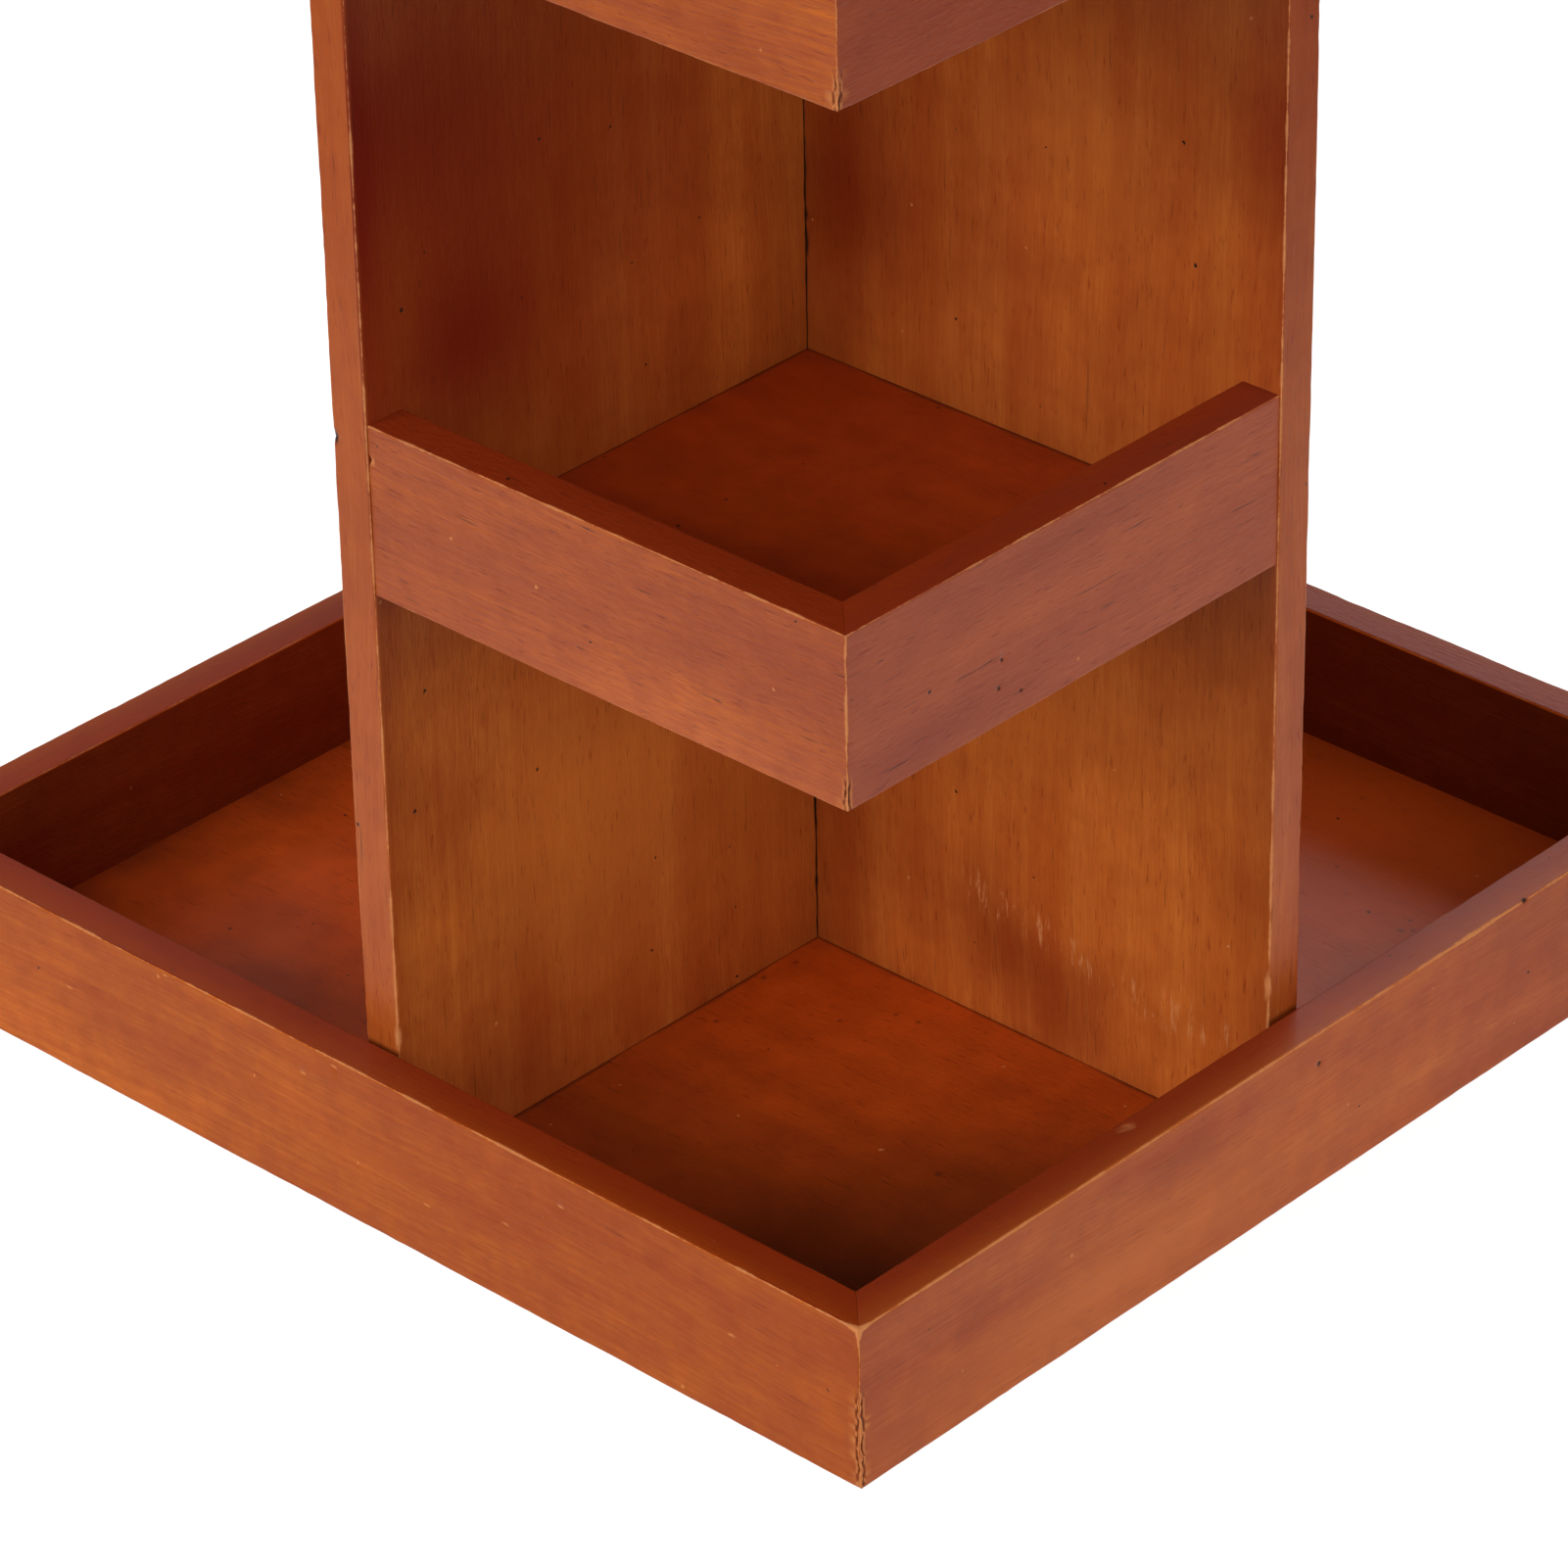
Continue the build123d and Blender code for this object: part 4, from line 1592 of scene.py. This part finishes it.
@dataclass
class Bearing:
    """The pressed plates, the balls in their retainer and the screws, in metres."""

    level: float = 0.017  # of the middles of the balls
    race: float = 0.036  # radius of the circle that they run on
    ball: float = 0.0025
    count: int = 12
    pocket: float = 0.0026
    retainer_reach: float = 0.0036  # from the race to each rim of the retainer
    retainer_thickness: float = 0.0008
    hole_circle: float = 0.062063
    lower_plate_top: float = 0.014
    upper_plate_bottom: float = 0.02
    base_screw: Screw = field(default_factory=lambda: Screw(1.5, 8.0, 2.7, 1.4))
    tray_screw: Screw = field(default_factory=lambda: Screw(1.5, 5.5, 2.7, 1.4))

    def build(self, nodes: dict[str, bpy.types.Object], finishes: Finishes) -> None:
        """Dresses the plates and makes what repeats.

        Args:
            nodes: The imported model's nodes.
            finishes: The organiser's finishes.
        """
        for name in ("bearing_lower_plate", "bearing_upper_plate"):
            dress(nodes[name], finishes.plate)
        settle(self.balls(finishes.ball), "ball_ring", "ball_steel", "bearing_balls")
        settle(self.retainer(finishes.nylon), "ball_ring", "retainer", "ball_retainer")
        settle(self.base_screws(finishes.screw), "base", "screw_steel", "bearing_base_screws")
        settle(self.tray_screws(finishes.screw), "turntable", "screw_steel", "bearing_tray_screws")

    def balls(self, finish: bpy.types.Material) -> bpy.types.Object:
        """The ground steel balls evenly round the race.

        Args:
            finish: The material.

        Returns:
            The finished piece.
        """
        values = {"Count": self.count, "Race": self.race, "Ball": self.ball, "Level": self.level}
        r = Recipe("ground_balls", {**values, "Finish": finish})
        ball = r.node("MeshUVSphere", {"Segments": 32, "Rings": 16, "Radius": r.given["Ball"]})
        made = r.round(ball, r.given["Count"], r.given["Race"])
        return r.run(r.lifted(made))

    def retainer(self, finish: bpy.types.Material) -> bpy.types.Object:
        """A flat ring with a round pocket for each ball.

        Args:
            finish: The material.

        Returns:
            The finished piece.
        """
        values = {
            "Count": self.count,
            "Race": self.race,
            "Reach": self.retainer_reach,
            "Pocket": self.pocket,
            "Thickness": self.retainer_thickness,
            "Level": self.level,
            "Finish": finish,
        }
        r = Recipe("pocketed_retainer", values)
        t, given = r.tree, r.given
        circles = ((120, t.plus(given["Race"], given["Reach"])), (96, t.minus(given["Race"], given["Reach"])))
        outer, inner, pocket = (
            r.node("CurvePrimitiveCircle", {"Resolution": steps, "Radius": radius})
            for steps, radius in (*circles, (28, given["Pocket"]))
        )
        pockets = r.node("RealizeInstances", {"Geometry": r.round(pocket, given["Count"], given["Race"])})
        face = r.node("FillCurve", {"Curve": r.joined(outer, inner, pockets)})
        feeds = {"Mesh": face, "Offset Scale": given["Thickness"], "Individual": False}
        walls = r.node("ExtrudeMesh", feeds)
        shut = r.joined(walls, r.node("FlipFaces", {"Mesh": face}))
        closed = r.node("MergeByDistance", {"Geometry": shut, "Distance": 1e-6})
        low = t.minus(given["Level"], t.times(given["Thickness"], 0.5))
        return r.run(r.moved(closed, t.combine(0.0, 0.0, low)))

    def base_screws(self, finish: bpy.types.Material) -> bpy.types.Object:
        """Pan screws down through the lower plate into the base board.

        Args:
            finish: The material.

        Returns:
            The finished piece.
        """
        level = self.lower_plate_top + self.base_screw.head_height * MM
        r = self.base_screw.recipe("base_pan_screws", finish, Circle=self.hole_circle, Level=level)
        return r.run(r.lifted(r.round(self.base_screw.make(r), 4, r.given["Circle"])))

    def tray_screws(self, finish: bpy.types.Material) -> bpy.types.Object:
        """Pan screws up through the upper plate into the tray floor.

        Args:
            finish: The material.

        Returns:
            The finished piece.
        """
        level = self.upper_plate_bottom - self.tray_screw.head_height * MM
        r = self.tray_screw.recipe("tray_pan_screws", finish, Circle=self.hole_circle, Level=level)
        screw = r.moved(self.tray_screw.make(r), AT_ORIGIN, UPSIDE_DOWN)
        return r.run(r.lifted(r.round(screw, 4, r.given["Circle"]), (0.0, 0.0, pi / 4)))


@dataclass
class Base:
    """The round board that the bearing turns on, with its four feet, in metres."""

    foot_circle: float = 0.08
    foot_radius: float = 0.009
    foot_height: float = 0.003

    def build(self, nodes: dict[str, bpy.types.Object], finishes: Finishes) -> None:
        """Dresses the board and makes the feet.

        Args:
            nodes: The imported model's nodes.
            finishes: The organiser's finishes.
        """
        dress(nodes["base_board"], finishes.base)
        settle(self.feet(finishes.rubber), "base", "foot_rubber", *(f"foot_{side}" for side in SIDES))

    def feet(self, finish: bpy.types.Material) -> bpy.types.Object:
        """Moulded rubber buttons with a hollow in the middle of each sole.

        Args:
            finish: The material.

        Returns:
            The finished piece.
        """
        values = {"Circle": self.foot_circle, "Radius": self.foot_radius, "Height": self.foot_height}
        r = Recipe("rubber_feet", {**values, "Finish": finish})
        side = ((0.0, 0.3), (0.34, 0.3), (0.38, 0.22), (0.4, 0.06), (0.43, 0.0), (0.82, 0.0), (0.87, 0.05))
        side += ((0.9, 0.17), (0.99, 0.93), (1.0, 0.97), (1.0, 1.0), (0.5, 1.0), (0.0, 1.0))
        profile = Profile(tuple((out, up, 0.0) for out, up in side))
        foot = r.spun(profile, r.given["Radius"], r.given["Height"], 48)
        return r.run(r.round(foot, 4, r.given["Circle"]))


# ---------------------------------------------------------------- studio


@dataclass(frozen=True)
class Lamp:
    """A soft rectangular lamp."""

    name: str
    place: Point
    aim: Point
    size: tuple[float, float]
    power: float

    def make(self) -> None:
        """Adds the lamp to the scene."""
        data = bpy.data.lights.new(self.name, "AREA")
        data.shape = "RECTANGLE"
        data.size, data.size_y = self.size
        data.energy = self.power
        lamp = bpy.data.objects.new(self.name, data)
        lamp.location = self.place
        lamp.rotation_mode = "QUATERNION"
        lamp.rotation_quaternion = (Vector(self.aim) - Vector(self.place)).to_track_quat("-Z", "Y")
        bpy.context.scene.collection.objects.link(lamp)


@dataclass
class Studio:
    """The camera, the lamps, the surroundings and the floor."""

    camera_place: Point = (0.95556, -1.02242, 0.90045)
    camera_right: Point = (0.73408, 0.67885, -0.01702)
    camera_down: Point = (0.33775, -0.38675, -0.85811)
    lens: float = 164.18
    surroundings: float = 0.25  # how strongly they light the object
    table_radius: float = 0.6
    table_colour: float = 0.86  # as the object is lit by it
    table_glow: float = 0.93  # where the camera sees it, without any light
    table_shade: float = 0.3  # how much the lamps add to that
    lamps: tuple[Lamp, ...] = (
        Lamp("key_lamp", (-0.2, -2.2, 1.05), (0.0, 0.0, 0.2), (1.6, 1.2), 35.5),
        Lamp("front_lamp", (1.5, -1.6, 1.35), (0.0, 0.0, 0.15), (1.1, 0.9), 3.0),
        Lamp("right_lamp", (2.2, 0.1, 0.7), (0.0, 0.0, 0.15), (1.2, 1.0), 14.5),
        Lamp("high_lamp", (2.1, 0.7, 1.5), (0.0, 0.0, 0.15), (0.9, 0.9), 6.0),
        Lamp("back_lamp", (-0.9, 2.2, 1.2), (0.0, 0.0, 0.25), (1.6, 1.2), 15.0),
        Lamp("left_lamp", (-2.2, 0.2, 1.0), (0.0, 0.0, 0.25), (1.2, 1.0), 10.0),
        Lamp("top_lamp", (0.1, -0.3, 2.4), (0.0, 0.0, 0.2), (1.3, 1.3), 6.5),
    )

    def build(self) -> None:
        """Adds all of it to the scene."""
        self._camera()
        for lamp in self.lamps:
            lamp.make()
        self._surroundings()
        self._floor()
        bpy.context.scene.view_settings.view_transform = "Standard"

    def _camera(self) -> None:
        """Places the camera, which looks down at the front corner."""
        data = bpy.data.cameras.new("camera")
        data.sensor_width = 36.0
        data.lens = self.lens
        data.clip_start, data.clip_end = 0.05, 50.0
        right, up = Vector(self.camera_right).normalized(), -Vector(self.camera_down).normalized()
        back = right.cross(up).normalized()
        turn = Matrix((right, up, back)).transposed().to_4x4()
        camera = bpy.data.objects.new("camera", data)
        camera.matrix_world = Matrix.Translation(self.camera_place) @ turn
        bpy.context.scene.collection.objects.link(camera)
        bpy.context.scene.camera = camera

    def _surroundings(self) -> None:
        """Lights everything evenly and weakly, and shows white behind the object."""
        world = bpy.data.worlds.new("surroundings")
        world.use_nodes = True
        t = Tree(world.node_tree)
        world.node_tree.nodes.clear()
        path = t.add("ShaderNodeLightPath").outputs
        seen = t.larger(path["Is Camera Ray"], path["Is Transmission Ray"])
        soft = t.add("ShaderNodeBackground", {"Color": (1.0, 1.0, 1.0), "Strength": self.surroundings})
        white = t.add("ShaderNodeBackground", {"Color": (1.0, 1.0, 1.0), "Strength": 1.0})
        both = t.add("ShaderNodeMixShader", {"Fac": seen})
        t.feed(both.inputs[1], soft.outputs["Background"])
        t.feed(both.inputs[2], white.outputs["Background"])
        t.feed(t.add("ShaderNodeOutputWorld").inputs["Surface"], both.outputs["Shader"])
        bpy.context.scene.world = world

    def _floor(self) -> None:
        """A white table top that shows white, with the object's faint shadow kept."""
        mesh = bpy.data.meshes.new("table")
        steps = 96
        angles = [2 * pi * step / steps for step in range(steps)]
        rim = [(self.table_radius * cos(angle), self.table_radius * sin(angle), 0.0) for angle in angles]
        mesh.from_pydata(rim, [], [list(range(steps))])
        table = bpy.data.objects.new("table", mesh)
        bpy.context.scene.collection.objects.link(table)
        f = Finish("white_table")
        f.set(Base_Color=(self.table_colour,) * 3, Roughness=0.9)
        t = f.tree
        path = t.add("ShaderNodeLightPath").outputs
        seen = t.larger(path["Is Glossy Ray"], path["Is Transmission Ray"])
        seen = t.larger(path["Is Camera Ray"], seen)
        glow = t.add("ShaderNodeEmission", {"Color": (1.0, 1.0, 1.0), "Strength": self.table_glow})
        shade = t.add("ShaderNodeBsdfDiffuse", {"Color": (self.table_shade,) * 3})
        lit = t.add("ShaderNodeAddShader")
        t.feed(lit.inputs[0], glow.outputs["Emission"])
        t.feed(lit.inputs[1], shade.outputs["BSDF"])
        both = t.add("ShaderNodeMixShader", {"Fac": seen})
        t.feed(both.inputs[1], f.shader.outputs["BSDF"])
        t.feed(both.inputs[2], lit.outputs["Shader"])
        t.feed(f.surface, both.outputs["Shader"])
        table.data.materials.append(f.material)


def dress(obj: bpy.types.Object, material: bpy.types.Material) -> None:
    """Puts one material in every slot of an object.

    Args:
        obj: The object.
        material: Its new material.
    """
    if not obj.data.materials:
        obj.data.materials.append(material)
    for slot in obj.material_slots:
        slot.material = material
    log.info("%s: %d faces", obj.name, len(obj.data.polygons))


# ---------------------------------------------------------------- wooden parts


INTO_WALL = (0.0, 0.35, 0.0)
TRAY_CHIPS = (
    (-56.0, 60.0),
    (-13.0, 53.0),
    (-3.0, 59.0),
    (24.0, 35.0),
    (48.0, 41.0),
    (65.0, 53.0),
    (114.0, 43.0),
    (-89.0, 43.0),
)
RAIL_HOLES = ((91.5, 187.8), (92.4, 181.6), (85.6, 178.2))
SCUFF_ARC = (
    (54.0, 60.0),
    (62.0, 58.0),
    (71.0, 56.0),
    (80.0, 55.0),
    (89.0, 53.0),
    (98.0, 51.0),
    (107.0, 50.0),
    (116.0, 51.0),
    (124.0, 52.0),
)
HISTORIES = {
    "tray_wall_front_left": History(
        nicks=tuple(Nick((x, -150.0, z), 0.45, INTO_WALL, stretch=(2.2, 1.0, 0.8)) for x, z in TRAY_CHIPS),
        stain_and_shading=(Spot((140.0, -150.0, 61.0), 25.0, 0.2, 1), Spot((-60.0, -150.0, 45.0), 60.0, 0.15, 1)),
        rubbed=(Spot((149.5, -149.5, 61.0), 3.4, 0.9),),
    ),
    "tray_wall_front_right": History(
        nicks=(
            Nick((-2.0, -150.0, 53.0), 0.7, INTO_WALL, True),
            Nick((70.0, -150.0, 61.0), 0.9, INTO_WALL, True),
            Nick((-57.6, -142.6, 61.0), 1.3, (0.0, -0.4, -0.25), bare=0.4, stretch=(1.6, 1.0, 1.0)),
        ),
        stain_and_shading=(
            Spot((-60.0, -150.0, 36.0), 110.0, -0.3, 1),
            Spot((-112.0, -150.0, 47.0), 9.0, 0.42, 1, (4.5, 1.0, 1.0)),
            Spot((-52.0, -150.0, 52.0), 8.0, 0.45, 1, (6.0, 1.0, 1.0)),
            Spot((20.0, -150.0, 50.0), 7.0, 0.35, 1, (5.0, 1.0, 1.0)),
            Spot((-70.0, -150.0, 32.0), 7.0, -0.3, 1, (7.0, 1.0, 1.0)),
        ),
        rubbed=(Spot((-149.5, -149.5, 61.0), 3.4, 0.9), Spot((52.0, -149.5, 61.0), 16.0, 0.6)),
    ),
    "front_lower_shelf_left_rail": History(
        nicks=(Nick((5.3, -137.5, 205.0), 1.2, (0.3, 0.5, 0.0)),),
        stain_and_shading=(Spot((125.0, -137.5, 195.0), 45.0, 0.3, 1),),
    ),
    "front_lower_shelf_right_rail": History(
        nicks=tuple(Nick((x, -137.5, z), 0.5, INTO_WALL, True) for x, z in RAIL_HOLES),
        stain_and_shading=(
            Spot((112.0, -137.5, 179.0), 9.0, 0.45, 1, (5.0, 1.0, 1.0)),
            Spot((80.0, -137.5, 196.0), 5.0, -0.4, 1, (12.0, 1.0, 1.0)),
            Spot((60.0, -137.5, 208.0), 6.0, 0.35, 1, (10.0, 1.0, 1.0)),
        ),
    ),
    "front_upper_shelf_left_rail": History(stain_and_shading=(Spot((70.0, -137.5, 345.0), 160.0, 0.3, 1),)),
    "front_upper_shelf_right_rail": History(stain_and_shading=(Spot((70.0, -137.5, 345.0), 160.0, 0.3, 1),)),
    "divider_front_left": History(
        nicks=(
            Nick((-4.5, -138.0, 207.5), 1.2, (0.2, 0.4, 0.0), True, (1.0, 1.0, 1.5)),
            Nick((4.9, -137.9, 64.0), 1.0, (-0.2, 0.2, 0.0), stretch=(1.0, 1.0, 3.0)),
        ),
        # The upper spots are deeper stain and painted shade under the top shelf; the spot below 0 at 95 mm is
        # painted light.
        stain_and_shading=(
            Spot((5.0, -118.0, 280.0), 60.0, 0.5, 0),
            Spot((5.0, -80.0, 245.0), 90.0, 0.55, 0),
            Spot((5.0, -110.0, 215.0), 36.0, 0.45, 0),
            Spot((5.0, -75.0, 95.0), 60.0, -0.55, 0),
            Spot((5.0, -120.0, 110.0), 26.0, 0.3, 0),
            Spot((5.0, -110.0, 40.0), 30.0, 0.3, 0),
        ),
    ),
    "divider_front_right": History(
        nicks=(Nick((-5.0, -137.6, 69.0), 0.9, (0.4, 0.25, 0.0), stretch=(1.0, 1.0, 4.0)),),
        scuffs=tuple(Spot((-5.0, -out, z), 6.5, 1.1, 0) for out, z in SCUFF_ARC),
        stain_and_shading=(
            Spot((-5.0, -18.0, 260.0), 44.0, 0.4, 0),
            Spot((-5.0, -16.0, 215.0), 34.0, 0.4, 0),
            Spot((-5.0, -60.0, 120.0), 45.0, -0.3, 0),
            Spot((-5.0, -40.0, 225.0), 50.0, 0.3, 0),
            Spot((-5.0, -80.0, 38.0), 27.0, 0.55, 0),
            Spot((-5.0, -60.0, 50.0), 20.0, 0.4, 0),
            Spot((-5.0, -15.0, 70.0), 40.0, 0.15, 0),
            Spot((-5.0, -128.0, 90.0), 14.0, 0.3, 0),
            Spot((-5.0, -132.0, 270.0), 22.0, 0.3, 0),
            Spot((-5.0, -75.0, 250.0), 40.0, -0.25, 0),
        ),
    ),
}
# The back rails took the stain as the front ones did.
HISTORIES |= {
    name.replace("front", "back"): History(stain_and_shading=past.stain_and_shading)
    for name, past in HISTORIES.items()
    if name.endswith("rail")
}


@dataclass
class Tray:
    """The square tray: four worn walls round a bored floor, in millimetres."""

    half: float = 150.0  # from the spin axis to the outer face of a wall
    thickness: float = 10.0
    bottom: float = 21.0
    height: float = 40.0
    crack: tuple[float, float] = (21.0, 46.0)  # the split up the front corner
    inner_darkenings: tuple[float, ...] = (0.1, 0.1, 0.5, 0.5)  # how much darker and redder each inner face is made: painted shade, strongest on the back walls
    inner_shade: tuple[float, ...] = (0.05, 0.05, 0.5, 0.25)  # how much painted shade in the dark pit colour each inner face takes
    rim_wear: tuple[float, ...] = (0.15, 0.35, 0.15, 0.35)  # how much lighter each top is outside
    first_seed: int = 11

    def build(self, nodes: dict[str, bpy.types.Object], finishes: Finishes) -> None:
        """Builds the walls and dresses the floor.

        Args:
            nodes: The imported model's nodes.
            finishes: The organiser's finishes.
        """
        dress(nodes["tray_floor"], finishes.tray_floor)
        for number, side in enumerate(SIDES):
            RimBoard(
                f"tray_wall_{side}",
                "stained_wall",
                self.first_seed + number,
                90.0 * number,
                history=HISTORIES.get(f"tray_wall_{side}", History()),
                half=self.half,
                thickness=self.thickness,
                bottom=self.bottom,
                height=self.height,
                crack=self.crack if side == "front_left" else (0.0, 0.0),
                near_crack=self.crack if side == "front_right" else (0.0, 0.0),
                inner_darkening=self.inner_darkenings[number],
                inner_shade=self.inner_shade[number],
                rim_wear=self.rim_wear[number],
            ).build(finishes.wall[Grain.ALONG_Y if number % 2 else Grain.ALONG_X])


@dataclass
class Cross:
    """The four dividers and the screws that hold them up, in millimetres."""

    thickness: float = 10.0
    reach: float = 138.0  # from the spin axis to the outer ends
    bottom: float = 27.0
    height: float = 450.0
    seam: float = 243.5  # height of the glued joint in the front left divider
    planks: tuple[tuple[Plank, ...], ...] = (
        (Plank(35.0, -0.25), Plank(140.0, 0.04)),
        (Plank(24.0, 0.16, 0.0), Plank(140.0, 0.02)),
        (Plank(46.0, 0.1), Plank(97.0, -0.08), Plank(140.0, 0.06)),
        (Plank(38.0, -0.05), Plank(91.0, 0.12), Plank(140.0, -0.04)),
    )
    end_tones: tuple[float, ...] = (0.34, 0.46, 0.4, 0.4)  # how much more stain each outer end took
    first_seed: int = 31
    screw_circles: tuple[float, float] = (0.09, 0.125)  # radii, in metres
    tray_bottom: float = 0.021  # in metres
    screw: Screw = field(default_factory=lambda: Screw(1.75, 28.25, 3.5, 1.75, True, 2.2))

    def build(self, finishes: Finishes) -> None:
        """Builds the dividers and their screws.

        Args:
            finishes: The organiser's finishes.
        """
        for number, side in enumerate(SIDES):
            Divider(
                f"divider_{side}",
                "stained_board",
                self.first_seed + number,
                90.0 * number,
                history=HISTORIES.get(f"divider_{side}", History()),
                thickness=self.thickness,
                end=self.reach,
                bottom=self.bottom,
                height=self.height,
                seam=self.seam if side == "front_left" else None,
                planks=self.planks[number],
                end_tone=self.end_tones[number],
            ).build(finishes.panel)
        settle(self.screws(finishes.screw), "turntable", "screw_steel", "divider_screws")

    def screws(self, finish: bpy.types.Material) -> bpy.types.Object:
        """Countersunk screws up through the tray floor, two under each divider.

        Args:
            finish: The material.

        Returns:
            The finished piece.
        """
        inner, outer = self.screw_circles
        r = self.screw.recipe("countersunk_screws", finish, Inner=inner, Outer=outer, Level=self.tray_bottom)
        screw = r.moved(self.screw.make(r), AT_ORIGIN, UPSIDE_DOWN)
        both = r.joined(*(r.round(screw, 4, r.given[label]) for label in ("Inner", "Outer")))
        return r.run(r.lifted(r.node("RealizeInstances", {"Geometry": both})))


@dataclass
class Shelves:
    """The shelves of the front and back bays, with their mitred rails, in millimetres."""

    outside: float = 137.5  # from the spin axis to the outer face of a rail
    start: float = 5.0  # from the spin axis to the divider that a rail meets
    thickness: float = 10.0
    height: float = 40.0
    bottoms: tuple[tuple[str, float], ...] = (("lower", 173.0), ("upper", 325.0))
    crack: float = 9.0  # how far each far corner is split from its low end
    first_seed: int = 52

    def build(self, nodes: dict[str, bpy.types.Object], finishes: Finishes) -> None:
        """Builds the rails and dresses the shelf boards.

        Args:
            nodes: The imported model's nodes.
            finishes: The organiser's finishes.
        """
        seed = self.first_seed
        for bay, turn in (("front", 0.0), ("back", 180.0)):
            for level, bottom in self.bottoms:
                dress(nodes[f"{bay}_{level}_shelf_board"], finishes.shelf)
                for side, grain in (("left", Grain.ALONG_X), ("right", Grain.ALONG_Y)):
                    name = f"{bay}_{level}_shelf_{side}_rail"
                    RimBoard(
                        name,
                        "stained_wall",
                        seed,
                        turn,
                        side == "right",
                        history=HISTORIES[name],
                        half=self.outside,
                        thickness=self.thickness,
                        bottom=bottom,
                        height=self.height,
                        start=self.start,
                        crack=(bottom, bottom + self.crack),
                        inner_darkening=0.6,
                    ).build(finishes.rail[grain])
                    seed += 1


def main() -> None:
    """Builds everything in order."""
    logging.basicConfig(level=logging.INFO, format="%(message)s")
    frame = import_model()
    effects = Effects()
    nodes = frame["nodes"]
    finishes = Finishes(effects)
    Tray().build(nodes, finishes)
    Cross().build(finishes)
    Shelves().build(nodes, finishes)
    Bearing().build(nodes, finishes)
    Base().build(nodes, finishes)
    Studio().build()


if __name__ == "__main__":
    main()
